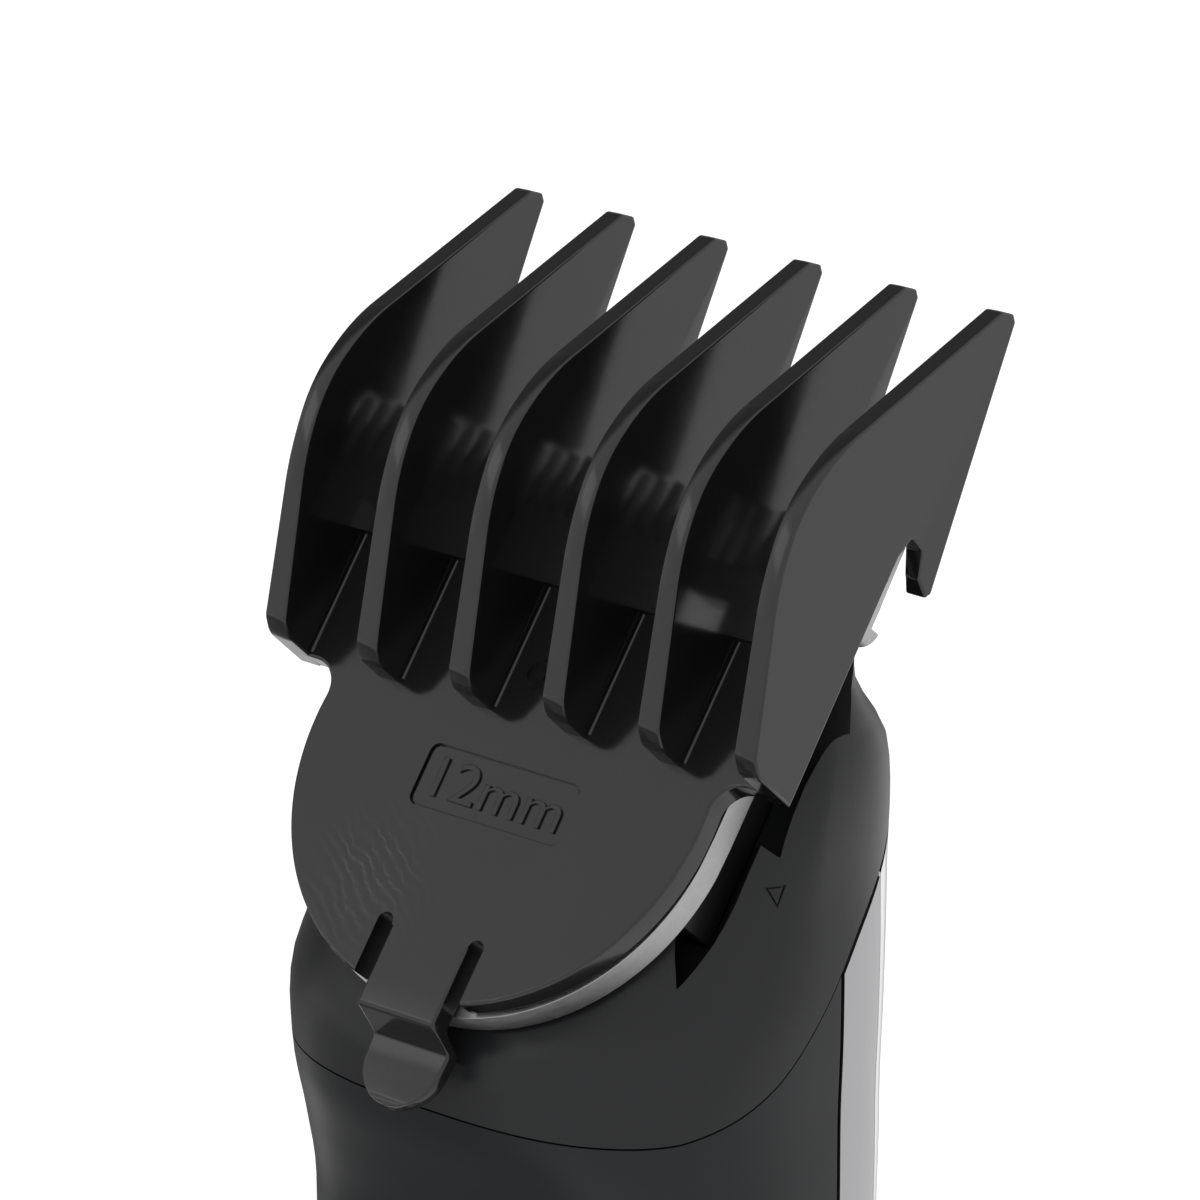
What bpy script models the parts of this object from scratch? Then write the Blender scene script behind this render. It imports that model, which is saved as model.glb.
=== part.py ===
"""A cordless hair clipper with a clip-on guide comb, standing on its base.

World frame: origin at the centre of the flat base, +Z up the body, -Y towards the front.
Dimensions are in millimetres and become metres when a mesh is made. The blades, the comb
and the face of the head share the blade plane, a frame of its own: x across, u up the
slope towards the teeth, n out of the face. Its origin is the centre of the comb's disc.
"""

import math

import bmesh
import bpy
from mathutils import Vector

MM = 0.001
GAP = 0.3  # clearance between neighbouring pieces

# blade plane
TILT = 39.81  # degrees that the blade plane leans back from the body's axis
PLANE_Y, PLANE_Z = -9.9, 145.0

# guide comb, in the blade plane
COMB_PITCH, FIN_COUNT, FIN_THICK = 8.0, 6, 1.95
DISC_R, PLATE_THICK, PLATE_TOP_U, SHOULDER_U = 16.55, 1.85, 13.4, 4.2
COMB_HALF = COMB_PITCH * (FIN_COUNT - 1) / 2 + FIN_THICK / 2
PIVOT_U, PIVOT_N = 23.3, -3.2  # the line of the blade tips, where the comb hooks on
TONGUE_HALF, SLOT_WIDTH, TONGUE_TOP_U, TONGUE_END_U = 3.15, 1.2, -11.4, -17.2

# blades, in the blade plane
STEEL_TOP, STEEL_BOTTOM, TEETH_BOTTOM = -2.05, -4.2, -3.2
BAR_HALF, BAR_LOW_U, HEEL_R = 20.0, 16.0, 16.35
TOOTH_PITCH, TOOTH_WIDTH, TOOTH_ROOT_U, TOOTH_TIP_U = 1.4, 0.75, 18.6, 23.2
MOVER_HALF, MOVER_LOW_U, MOVER_TIP_U = 16.4, 10.0, 20.9
MOVER_TOP, MOVER_BOTTOM = -4.4, -5.6
BLADE_SCREW_X, BLADE_SCREW_U, MOTOR_SCREW_X = 11.0, 3.0, 6.0
CARRIER_HALF, CARRIER_LOW_U, CARRIER_HIGH_U = 14.8, -5.0, 16.2
FAR = 40.0  # past the outside of the body

# body: height, half width, front y, back y, y where it is widest
# On the rows between FACE_LOW_Z and the top the front lies on the sloped face instead.
FACE_N, FACE_LOW_Z = -4.5, 130.0
BODY = [
    (0.0, 17.7, -12.4, 12.4, 0.0),
    (1.5, 18.6, -13.5, 13.5, 0.0),
    (8.0, 19.1, -14.1, 14.1, 0.0),
    (60.0, 19.3, -14.2, 14.3, 0.0),
    (112.0, 19.3, -14.6, 14.6, 0.0),
    (117.6, 19.3, -16.0, 14.9, 0.0),
    (122.4, 19.3, -17.6, 15.0, 0.0),
    (126.5, 19.45, -17.9, 15.1, 0.0),
    (129.3, 19.5, -17.2, 15.2, 0.0),
    (133.0, 19.5, -14.0, 15.4, 0.0),
    (137.7, 19.4, -10.0, 15.7, 0.0),
    (143.0, 19.6, -5.6, 15.7, 0.0),
    (146.1, 19.3, -3.0, 14.9, 1.0),
    (147.7, 18.8, -1.7, 13.5, 2.0),
    (149.2, 18.0, -0.4, 12.2, 2.5),
    (150.7, 17.3, 0.7, 11.2, 3.0),
    (154.0, 16.5, 3.5, 9.8, 5.5),
    (157.0, 15.5, 6.0, 8.9, 7.2),
]
BACK_POWER, FRONT_POWER, BODY_SIDES = 2.5, 2.8, 40
# How far the body would stand out in front of its flat face, as z and distance.
FACE_BULGE = [(127.0, 0.0), (129.3, 0.6), (133.0, 2.2), (146.0, 2.2), (157.0, 0.8)]
FACE_POWER, FACE_EASE = 2.2, 0.6
WALL, FACE_WALL = 1.8, 4.0
BASE_HEIGHT = 7.0
# seam between the head and the covers, seen from the side: y, z
SEAM = [
    (-24.0, 123.9),
    (-14.0, 123.9),
    (-10.8, 124.3),
    (-7.0, 125.5),
    (-3.6, 127.4),
    (0.0, 130.7),
    (3.5, 134.9),
    (7.0, 138.0),
    (10.0, 140.6),
    (13.0, 142.6),
    (16.0, 143.4),
    (24.0, 143.4),
]
SPLIT_Y, STRIP_BACK_Y, STRIP_THICK, STRIP_LOW_Z = 1.5, 10.2, 1.0, 9.0

# drive
MOTOR_Y, MOTOR_R, MOTOR_FLAT, MOTOR_LOW_Z, MOTOR_TOP_Z = 2.5, 10.0, 7.6, 85.0, 112.0
SHAFT_R, CAM_R, CAM_Z, THROW, CAM_PIN_R, CAM_PIN_TOP = 1.0, 4.6, 116.6, 0.9, 0.9, 124.0
LEVER_Y, LEVER_THICK, LEVER_PIVOT_Z, LEVER_LOW_Z = 2.5, 2.6, 135.0, 120.6
DRIVE_U = 13.2  # where the lever's tip enters the moving blade

# electrics and controls
BATTERY_R, BATTERY_Y, BATTERY_LOW_Z, BATTERY_TOP_Z = 7.0, 2.5, 22.0, 72.0
BOARD_Y, BOARD_THICK, BOARD_HALF, BOARD_LOW_Z, BOARD_TOP_Z = -7.6, 1.4, 11.0, 14.0, 101.0
BUTTON_Z, BUTTON_HALF_X, BUTTON_HALF_Z = 92.0, 5.2, 7.2
LIGHT_Z = 78.0
CASE_SCREW_Z = (30.0, 106.0)
SOCKET_Y, SOCKET_HALF_X, SOCKET_HALF_Y = 5.5, 4.5, 1.7


# ---------------------------------------------------------------- helpers


def material(name, colour, roughness, metallic=0.0):
    made = bpy.data.materials.new(name)
    made.use_nodes = True
    shader = made.node_tree.nodes["Principled BSDF"]
    shader.inputs["Base Color"].default_value = (*colour, 1.0)
    shader.inputs["Roughness"].default_value = roughness
    shader.inputs["Metallic"].default_value = metallic
    return made


def empty(name, at, tilt=0.0):
    made = bpy.data.objects.new(name, None)
    made.location = Vector(at) * MM
    made.rotation_euler = (math.radians(tilt), 0.0, 0.0)
    bpy.context.collection.objects.link(made)
    return made


def node(name, bm, finish, parent=None, at=(0.0, 0.0, 0.0)):
    """One named object from a bmesh in millimetres, with its origin at the given point."""
    bmesh.ops.recalc_face_normals(bm, faces=bm.faces)
    bmesh.ops.translate(bm, verts=bm.verts, vec=-Vector(at))
    bmesh.ops.scale(bm, verts=bm.verts, vec=(MM, MM, MM))
    mesh = bpy.data.meshes.new(name)
    bm.to_mesh(mesh)
    bm.free()
    mesh.shade_smooth()
    mesh.set_sharp_from_angle(angle=math.radians(32.0))
    if finish:
        mesh.materials.append(finish)
    made = bpy.data.objects.new(name, mesh)
    made.location = Vector(at) * MM
    made.parent = parent
    bpy.context.collection.objects.link(made)
    return made


def boolean(target, other, operation="DIFFERENCE"):
    """Cuts, joins or crosses the target with a helper shape, which isn't a node."""
    other.hide_render = True
    other.display_type = "WIRE"
    step = target.modifiers.new(operation.lower(), "BOOLEAN")
    step.operation = operation
    step.object = other
    return target


def helper(name, bm, parent=None):
    return node(name, bm, None, parent)


def rings(loops):
    """A solid from rings of points, each joined to the next, with flat ends."""
    bm = bmesh.new()
    made = [[bm.verts.new(point) for point in loop] for loop in loops]
    for low, high in zip(made, made[1:]):
        for i in range(len(low)):
            j = (i + 1) % len(low)
            bm.faces.new((low[i], low[j], high[j], high[i]))
    bm.faces.new(made[0])
    bm.faces.new(made[-1])
    return bm


def slab(outline, low, high):
    """An outline in x and y, raised from low to high in z."""
    return rings([[(x, y, z) for x, y in outline] for z in (low, high)])


def side_slab(outline, low, high):
    """An outline in y and z, raised from low to high in x."""
    return rings([[(x, y, z) for y, z in outline] for x in (low, high)])


def front_slab(outline, low, high):
    """An outline in x and z, raised from low to high in y."""
    return rings([[(x, y, z) for x, z in outline] for y in (low, high)])


def box(low, high):
    (x0, y0, z0), (x1, y1, z1) = low, high
    return slab([(x0, y0), (x1, y0), (x1, y1), (x0, y1)], z0, z1)


def arc(cx, cy, radius, start, end, steps):
    """Points on an arc, angles in degrees, both ends included."""
    turn = [math.radians(start + (end - start) * i / steps) for i in range(steps + 1)]
    return [(cx + radius * math.cos(t), cy + radius * math.sin(t)) for t in turn]


def circle(cx, cy, radius, sides):
    return arc(cx, cy, radius, 0.0, 360.0 * (sides - 1) / sides, sides - 1)


def rounded(half_x, half_y, radius, cx=0.0, cy=0.0, steps=4):
    corners = ((1, 1, 0), (-1, 1, 90), (-1, -1, 180), (1, -1, 270))
    points = []
    for sx, sy, start in corners:
        x, y = cx + sx * (half_x - radius), cy + sy * (half_y - radius)
        points += arc(x, y, radius, start, start + 90, steps)
    return points


def both_sides(points):
    """The right half of an outline, from bottom to top, with its mirror image."""
    return points + [(-x, y) for x, y in reversed(points)]


def turned(profile, cx, cy, sides):
    """A solid of revolution about a vertical axis: profile of radius and height."""
    return rings([[(x, y, z) for x, y in circle(cx, cy, r, sides)] for r, z in profile])


def body_ring(z, width, front, back, middle, wall):
    """A closed level curve: two half superellipses, the front one pressed back to the wall."""
    ring = []
    share = between(FACE_BULGE, z) / FACE_BULGE[2][1]
    front_power = FRONT_POWER + (FACE_POWER - FRONT_POWER) * share
    for i in range(BODY_SIDES):
        turn = 2 * math.pi * (i + 0.5) / BODY_SIDES
        c, s = math.cos(turn), math.sin(turn)
        depth, power = (back - middle, BACK_POWER) if s > 0 else (middle - front, front_power)
        x = width * math.copysign(abs(c) ** (2 / power), c)
        y = middle + depth * math.copysign(abs(s) ** (2 / power), s)
        if share > 0:
            y = wall + (y - wall + math.hypot(y - wall, FACE_EASE * share)) / 2
        ring.append((x, y, z))
    return ring


def body_solid(inset):
    """The outside of the body, or the body moved inwards by the inset."""
    loops = []
    for z, width, front, back, middle in BODY:
        wall = plane_y(z, FACE_N) + inset
        level = plane_y(z, FACE_N) if z > FACE_LOW_Z else front
        near = level - between(FACE_BULGE, z) + inset
        if back - level > 4 * inset:
            loops.append(body_ring(z, width - inset, near, back - inset, middle, wall))
    return rings(loops)


def between(points, at):
    """The value at a place on a line through points, level beyond both ends."""
    for (a0, b0), (a1, b1) in zip(points, points[1:]):
        if a0 <= at <= a1:
            return b0 + (b1 - b0) * (at - a0) / (a1 - a0)
    return points[0][1] if at < points[0][0] else points[-1][1]


def plane_y(z, n):
    """The y of the blade plane's level n at a height z."""
    lean = math.radians(TILT)
    return PLANE_Y + ((z - PLANE_Z) * math.sin(lean) - n) / math.cos(lean)


# ---------------------------------------------------------------- guide comb


def comb_plate_outline():
    fillet = 2.0
    side = math.degrees(math.asin((SHOULDER_U - fillet) / (DISC_R + fillet)))
    reach = (DISC_R + fillet) * math.cos(math.radians(side))
    low = math.degrees(math.acos((TONGUE_HALF + SLOT_WIDTH) / DISC_R))
    right = arc(0.0, 0.0, DISC_R, -low, side, 16)
    right += arc(reach, SHOULDER_U - fillet, fillet, 180.0 + side, 90.0, 4)[1:]
    right += [(COMB_HALF, SHOULDER_U), (COMB_HALF, PLATE_TOP_U)]
    slot = arc(TONGUE_HALF + SLOT_WIDTH / 2, TONGUE_TOP_U, SLOT_WIDTH / 2, 110.0, 0.0, 4)
    return both_sides([(TONGUE_HALF - 0.6, TONGUE_TOP_U + GAP)] + slot + right)


def fin_outline(outer):
    """Side view of one comb fin, u and n; the outer fins hook round the blade's ends."""
    front = [(3.9, -PLATE_THICK + 0.05), (4.0, 2.5), (4.5, 3.5), (5.3, 4.1)]
    crest = [(14.5, 8.5), (16.9, 9.35), (19.2, 9.8), (21.2, 9.8), (23.4, 9.3)]
    tip = [(39.4, -1.3), (39.85, -2.1), (39.7, -2.9)]
    if outer:
        back = [(21.3, -6.4), (20.9, -5.9), (21.7, -4.9), (23.45, -3.75), (23.5, -2.3)]
    else:
        back = [(24.1, -5.6), (23.55, -4.6), (23.5, -2.3)]
    return front + crest + tip + back + [(22.0, -PLATE_THICK + 0.05)]


def guide_comb(parent, finish):
    pivot = (0.0, PIVOT_U, PIVOT_N)
    plate = slab(comb_plate_outline(), -PLATE_THICK, 0.0)
    comb = node("guide_comb", plate, finish, parent, pivot)
    for i in range(FIN_COUNT):
        x = COMB_PITCH * (i - (FIN_COUNT - 1) / 2)
        outer = i in (0, FIN_COUNT - 1)
        fin = side_slab(fin_outline(outer), x - FIN_THICK / 2, x + FIN_THICK / 2)
        boolean(comb, helper(f"fin_shape_{i + 1}", fin, parent), "UNION")
    return comb


def comb_latch(parent, finish):
    """The springy tongue that clips over the heel of the blade, with its thumb tab."""
    top, end = TONGUE_TOP_U, TONGUE_END_U
    side = [(top, 0.0), (end, 0.0), (end - 0.5, -0.4), (end - 1.5, -3.0), (end - 5.6, -3.0)]
    side += [(end - 5.6, -4.15), (end - 1.0, -4.15), (end - 0.2, -2.2), (end, -1.7), (top, -1.7)]
    tongue = side_slab(side, -TONGUE_HALF, TONGUE_HALF)
    latch = node("comb_latch", tongue, finish, parent, (0.0, top, -0.9))
    tab = [(TONGUE_HALF + 1, 0.0), (-TONGUE_HALF - 1, 0.0), (-TONGUE_HALF - 1, end - 1.6)]
    tab += arc(0.0, end - 2.3, 3.3, 180.0, 360.0, 12)
    tab += [(TONGUE_HALF + 1, end - 1.6)]
    return boolean(latch, helper("tab_shape", slab(tab, -9.0, 2.0), parent), "INTERSECT")


# ---------------------------------------------------------------- blades


def toothed_edge(half, root, tip, width, pitch):
    """Teeth from right to left: pairs of flanks that narrow a little towards the tips."""
    count = int((2 * half - width) / pitch) + 1
    first = pitch * (count - 1) / 2
    points = []
    for i in range(count):
        x = first - i * pitch
        foot, end = width / 2, width / 2 - 0.15
        points += [(x + foot, root), (x + end, tip), (x - end, tip), (x - foot, root)]
    points[0] = (half, root)
    points[-1] = (-half, root)
    return points


def fixed_blade(parent, finish):
    heel = arc(0.0, -0.2, HEEL_R, -90.0, -10.0, 14)
    sides = [(HEEL_R, 0.5), (HEEL_R, BAR_LOW_U), (BAR_HALF - 1.2, BAR_LOW_U)]
    sides += arc(BAR_HALF - 1.2, BAR_LOW_U + 1.2, 1.2, -60, 0, 2)
    half = heel[1:] + sides
    teeth = toothed_edge(BAR_HALF, TOOTH_ROOT_U, TOOTH_TIP_U, TOOTH_WIDTH, TOOTH_PITCH)
    outline = [heel[0]] + half + teeth + [(-x, u) for x, u in reversed(half)]
    blade = node("fixed_blade", slab(outline, STEEL_BOTTOM, STEEL_TOP), finish, parent)
    relief = box((-30, 17.2, STEEL_BOTTOM - 1), (30, 30, TEETH_BOTTOM))
    boolean(blade, helper("teeth_relief", relief, parent))
    slope = [(19.5, STEEL_TOP + 0.001), (19.5, 0.0), (24.0, 0.0), (24.0, STEEL_TOP - 0.7)]
    boolean(blade, helper("teeth_slope", side_slab(slope, -30, 30), parent))
    for side in (-1, 1):
        hole = slab(circle(side * BLADE_SCREW_X, BLADE_SCREW_U, 1.4, 12), -6.0, 0.0)
        boolean(blade, helper(f"blade_hole_{side + 2}", hole, parent))
        sink = slab(circle(side * BLADE_SCREW_X, BLADE_SCREW_U, 2.5, 16), STEEL_TOP - 1.1, 0.0)
        boolean(blade, helper(f"blade_sink_{side + 2}", sink, parent))
    return blade


def moving_blade(parent, finish):
    half = [(MOVER_HALF - 1.5, MOVER_LOW_U), (MOVER_HALF, MOVER_LOW_U + 1.5)]
    teeth = toothed_edge(MOVER_HALF, TOOTH_ROOT_U - 0.4, MOVER_TIP_U, 0.7, TOOTH_PITCH)
    outline = half + teeth + [(-x, u) for x, u in reversed(half)]
    top = TEETH_BOTTOM - GAP
    blade = node("moving_blade", slab(outline, MOVER_BOTTOM, top), finish, parent)
    step = box((-30, 5, MOVER_TOP), (30, 17.6, 0))
    boolean(blade, helper("mover_step", step, parent))
    slot = slab(rounded(1.8, 1.9, 0.6, 0.0, DRIVE_U, 2), -9, 0)
    return boolean(blade, helper("mover_slot", slot, parent))


def blade_carrier(parent, finish):
    """The plastic frame that the fixed blade is screwed to and the moving blade runs in."""
    low, high, floor = CARRIER_LOW_U, CARRIER_HIGH_U, -8.4
    side = [(low, floor), (high, floor), (high, -7.0), (9.4, -7.0), (9.4, FACE_N)]
    side += [(low, FACE_N)]
    carrier = node("blade_carrier", side_slab(side, -CARRIER_HALF, CARRIER_HALF), finish, parent)
    window = slab([(-6.6, 5.0), (6.6, 5.0), (6.6, 20.0), (-6.6, 20.0)], -12.0, 0.0)
    boolean(carrier, helper("carrier_window", window, parent))
    for side in (-1, 1):
        hole = slab(circle(side * BLADE_SCREW_X, BLADE_SCREW_U, 1.3, 12), -12.0, 0.0)
        boolean(carrier, helper(f"carrier_hole_{side + 2}", hole, parent))
    return carrier


def blade_spring(parent, finish):
    """A forked leaf spring that holds the moving blade up against the fixed one."""
    outline = both_sides([(5.8, -0.5), (5.8, 14.8), (3.6, 14.8), (3.6, 2.5)])
    leaf = node("blade_spring", slab(outline, -13.0, -5.0), finish, parent)
    bend = [(-2.0, -9.1), (4.0, -9.1), (13.2, -5.95), (16.0, -5.95), (16.0, -6.3)]
    bend += [(13.3, -6.3), (4.0, -9.5), (-2.0, -9.5)]
    shape = helper("spring_bend", side_slab(bend, -10, 10), parent)
    return boolean(leaf, shape, "INTERSECT")


def blade_screw(name, x, parent, finish):
    profile = [(1.0, -8.0), (1.0, STEEL_TOP - 0.85), (2.2, STEEL_TOP - 0.8), (2.2, -2.25)]
    screw = node(name, turned(profile, x, BLADE_SCREW_U, 12), finish, parent)
    cross = box((x - 1.4, BLADE_SCREW_U - 0.25, -2.7), (x + 1.4, BLADE_SCREW_U + 0.25, 0))
    return boolean(screw, helper(name + "_slot", cross, parent))


# ---------------------------------------------------------------- shells


def seam_outline(shift, low, front, back):
    """The side view of everything under the seam, between two values of y."""
    curve = [(y, z + shift) for y, z in SEAM]

    def height(y):
        for (y0, z0), (y1, z1) in zip(curve, curve[1:]):
            if y0 <= y <= y1:
                return z0 + (z1 - z0) * (y - y0) / (y1 - y0)
        return curve[0][1] if y < curve[0][0] else curve[-1][1]

    inside = [(y, z) for y, z in curve if front < y < back]
    return [(front, low), (back, low), (back, height(back)), *reversed(inside), (front, height(front))]


def head_housing(parent, finish):
    """The wedge-shaped head: its crowned face carries the blades and is open under them."""
    head = node("head_housing", body_solid(0.0), finish)
    top = 175.0
    region = [*SEAM, (SEAM[-1][0] + 10, top), (SEAM[0][0], top)]
    boolean(head, helper("head_region", side_slab(region, -FAR, FAR)), "INTERSECT")
    inner, low = FACE_N - FACE_WALL, 90.0
    room = [(plane_y(top, inner), top), (plane_y(low, inner), low), (90.0, low), (90.0, top)]
    hollow = helper("head_hollow", body_solid(WALL))
    boolean(hollow, helper("head_room", side_slab(room, -FAR, FAR)), "INTERSECT")
    boolean(head, hollow)
    reach = CARRIER_HALF + GAP
    opening = slab(both_sides([(reach, CARRIER_LOW_U - GAP), (reach, CARRIER_HIGH_U + GAP)]), -8.7, 5.0)
    boolean(head, helper("carrier_opening", opening, parent))
    mover = slab(both_sides([(25.0, 9.4), (25.0, 30.0)]), MOVER_BOTTOM - 0.35, 5.0)
    boolean(head, helper("mover_opening", mover, parent))
    right = [(13.0, -11.5), (16.2, -10.2), (17.6, -3.2), (17.6, 0.8), (18.9, 0.8), (18.4, 6.4)]
    right.append((18.4, 30.0))
    pocket = slab(both_sides(right), FACE_N - 2.7, 5.0)
    return boolean(head, helper("blade_pocket", pocket, parent))


def cover(name, finish, front, back):
    """One half of the grip: the body's wall between two values of y, under the seam."""
    shell = node(name, body_solid(0.0), finish)
    region = side_slab(seam_outline(-GAP, BASE_HEIGHT + GAP, front, back), -FAR, FAR)
    boolean(shell, helper(name + "_region", region), "INTERSECT")
    return boolean(shell, helper(name + "_hollow", body_solid(WALL)))


def front_cover(finish):
    shell = cover("front_cover", finish, -FAR, SPLIT_Y - GAP / 2)
    hole_x, hole_z = BUTTON_HALF_X + GAP, BUTTON_HALF_Z + GAP
    button = front_slab(rounded(hole_x, hole_z, hole_x - 0.4, 0.0, BUTTON_Z), -30, -5)
    boolean(shell, helper("button_hole", button))
    light = front_slab(rounded(1.6, 2.6, 1.5, 0.0, LIGHT_Z), -30, -5)
    return boolean(shell, helper("light_hole", light))


def rear_cover(finish):
    shell = cover("rear_cover", finish, SPLIT_Y + GAP / 2, FAR)
    outside = seam_outline(5.0, STRIP_LOW_Z - GAP, -5.0, STRIP_BACK_Y + GAP)
    recess = helper("strip_recess", side_slab(outside, -FAR, FAR))
    boolean(recess, helper("strip_floor", body_solid(STRIP_THICK + GAP - 0.05)))
    boolean(shell, recess)
    for i, z in enumerate(CASE_SCREW_Z):
        steps = ((1.1, 11.0), (1.1, 13.1), (2.3, 13.15), (2.3, 30.0))
        hole = rings([[(x, y, h) for x, h in circle(0.0, z, r, 16)] for r, y in steps])
        boolean(shell, helper(f"case_hole_{i + 1}", hole))
    return shell


def side_strip(name, side, finish):
    """A bright trim strip let into the side of the body, up to the seam."""
    strip = node(name, body_solid(0.0), finish)
    outline = seam_outline(-2 * GAP, STRIP_LOW_Z, SPLIT_Y + GAP, STRIP_BACK_Y)
    reach = sorted((side * 5.0, side * FAR))
    boolean(strip, helper(name + "_region", side_slab(outline, *reach)), "INTERSECT")
    return boolean(strip, helper(name + "_floor", body_solid(STRIP_THICK)))


def base_cap(finish):
    cap = node("base_cap", body_solid(0.0), finish)
    low = box((-FAR, -FAR, -1), (FAR, FAR, BASE_HEIGHT))
    boolean(cap, helper("cap_region", low), "INTERSECT")
    plug = helper("cap_plug", body_solid(WALL + GAP))
    boolean(plug, helper("plug_region", box((-FAR, -FAR, 4), (FAR, FAR, 10))), "INTERSECT")
    boolean(cap, plug, "UNION")
    room = slab(rounded(12.0, 8.5, 3.0), 3.0, 15.0)
    boolean(cap, helper("cap_room", room))
    port = slab(rounded(SOCKET_HALF_X + GAP, SOCKET_HALF_Y + GAP, 1.9, 0.0, SOCKET_Y), -2.0, 8.0)
    return boolean(cap, helper("cap_port", port))


# ---------------------------------------------------------------- drive


def drive_lever(parent, finish):
    """A rocking lever: its fork straddles the cam pin and its tip moves the blade."""
    pivot = LEVER_PIVOT_Z
    fork, slot = 5.4, CAM_PIN_R + 2 * THROW + GAP
    right = [(slot, pivot - 9.4), (slot, LEVER_LOW_Z), (fork, LEVER_LOW_Z), (fork, pivot - 8.5)]
    right += [(3.8, pivot), (2.2, pivot + 5.0), (1.4, pivot + 13.4)]
    outline = both_sides(right)
    low_y, high_y = LEVER_Y - LEVER_THICK / 2, LEVER_Y + LEVER_THICK / 2
    lever = node("drive_lever", front_slab(outline, low_y, high_y), finish, None, (0, LEVER_Y, pivot))
    foot, end = DRIVE_U - 1.5, DRIVE_U + 1.5
    tip = [(foot - 1.4, -9.4), (end, -9.4), (end, -4.75), (foot, -4.75), (foot, -6.6), (foot - 1.4, -7.6)]
    boolean(lever, helper("lever_tip", side_slab(tip, -1.4, 1.4), parent), "UNION")
    bore = front_slab(circle(0.0, pivot, 1.3, 16), -10, 20)
    return boolean(lever, helper("lever_bore", bore))


def lever_pivot_pin(finish):
    pin = front_slab(circle(0.0, LEVER_PIVOT_Z, 1.1, 16), LEVER_Y - 3.0, 10.0)
    return node("lever_pivot_pin", pin, finish)


def motor_can(finish):
    flat = math.degrees(math.asin(MOTOR_FLAT / MOTOR_R))
    right = arc(0.0, 0.0, MOTOR_R, -flat, flat, 8)
    outline = [(x, y + MOTOR_Y) for x, y in both_sides(right)]
    can = node("motor_can", slab(outline, MOTOR_LOW_Z + 3.0, MOTOR_TOP_Z), finish)
    boss = turned([(3.0, MOTOR_TOP_Z - 1), (3.0, MOTOR_TOP_Z + 1.2)], 0.0, MOTOR_Y, 16)
    boolean(can, helper("motor_boss", boss), "UNION")
    bore = turned([(SHAFT_R + 0.2, 96.0), (SHAFT_R + 0.2, 125.0)], 0.0, MOTOR_Y, 12)
    boolean(can, helper("motor_bore", bore))
    for side in (-1, 1):
        hole = turned([(0.9, MOTOR_TOP_Z - 3), (0.9, 130.0)], side * MOTOR_SCREW_X, MOTOR_Y, 8)
        boolean(can, helper(f"motor_tap_{side + 2}", hole))
    return can


def motor_end_cap(finish):
    flat = math.degrees(math.asin((MOTOR_FLAT - 0.3) / MOTOR_R))
    right = arc(0.0, 0.0, MOTOR_R - 0.3, -flat, flat, 6)
    outline = [(x, y + MOTOR_Y) for x, y in both_sides(right)]
    return node("motor_end_cap", slab(outline, MOTOR_LOW_Z, MOTOR_LOW_Z + 2.7), finish)


def motor_shaft(finish):
    shaft = turned([(SHAFT_R, 97.0), (SHAFT_R, CAM_Z + 1.8)], 0.0, MOTOR_Y, 12)
    return node("motor_shaft", shaft, finish, None, (0.0, MOTOR_Y, 97.0))


def eccentric_cam(finish):
    profile = [(CAM_R, CAM_Z), (CAM_R, CAM_Z + 2.6)]
    cam = node("eccentric_cam", turned(profile, 0.0, MOTOR_Y, 20), finish, None, (0, MOTOR_Y, CAM_Z))
    pin = turned([(CAM_PIN_R, CAM_Z + 2.0), (CAM_PIN_R, CAM_PIN_TOP)], 0.0, MOTOR_Y + THROW, 10)
    boolean(cam, helper("cam_pin", pin), "UNION")
    bore = turned([(SHAFT_R + 0.1, 110.0), (SHAFT_R + 0.1, CAM_Z + 2.0)], 0.0, MOTOR_Y, 12)
    return boolean(cam, helper("cam_bore", bore))


def motor_mount(finish):
    """The bracket between the motor and the lever: a plate with two posts for the pivot."""
    z = MOTOR_TOP_Z + GAP
    plate = slab(rounded(12.0, 7.4, 3.0, 0.0, MOTOR_Y + 0.2), z, z + 1.7)
    mount = node("motor_mount", plate, finish)
    hole = turned([(3.4, z - 5), (3.4, z + 5)], 0.0, MOTOR_Y, 16)
    boolean(mount, helper("mount_hole", hole))
    top = LEVER_PIVOT_Z + 3.0
    post = side_slab([(7.6, z + 0.5), (10.0, z + 0.5), (10.0, top), (7.6, top)], -3.6, 3.6)
    boolean(mount, helper("mount_post", post), "UNION")
    bore = front_slab(circle(0.0, LEVER_PIVOT_Z, 1.3, 16), 4.0, 20)
    boolean(mount, helper("mount_bore", bore))
    for side in (-1, 1):
        hole = turned([(1.1, z - 5), (1.1, z + 5)], side * MOTOR_SCREW_X, MOTOR_Y, 10)
        boolean(mount, helper(f"mount_screw_hole_{side + 2}", hole))
    return mount


def motor_screw(name, x, finish):
    top = MOTOR_TOP_Z + GAP + 1.7 + 0.15
    profile = [(0.7, MOTOR_TOP_Z - 2.5), (0.7, top), (1.5, top + 0.05), (1.5, top + 1.0)]
    return node(name, turned(profile, x, MOTOR_Y, 10), finish)


# ---------------------------------------------------------------- electrics and chassis


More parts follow.
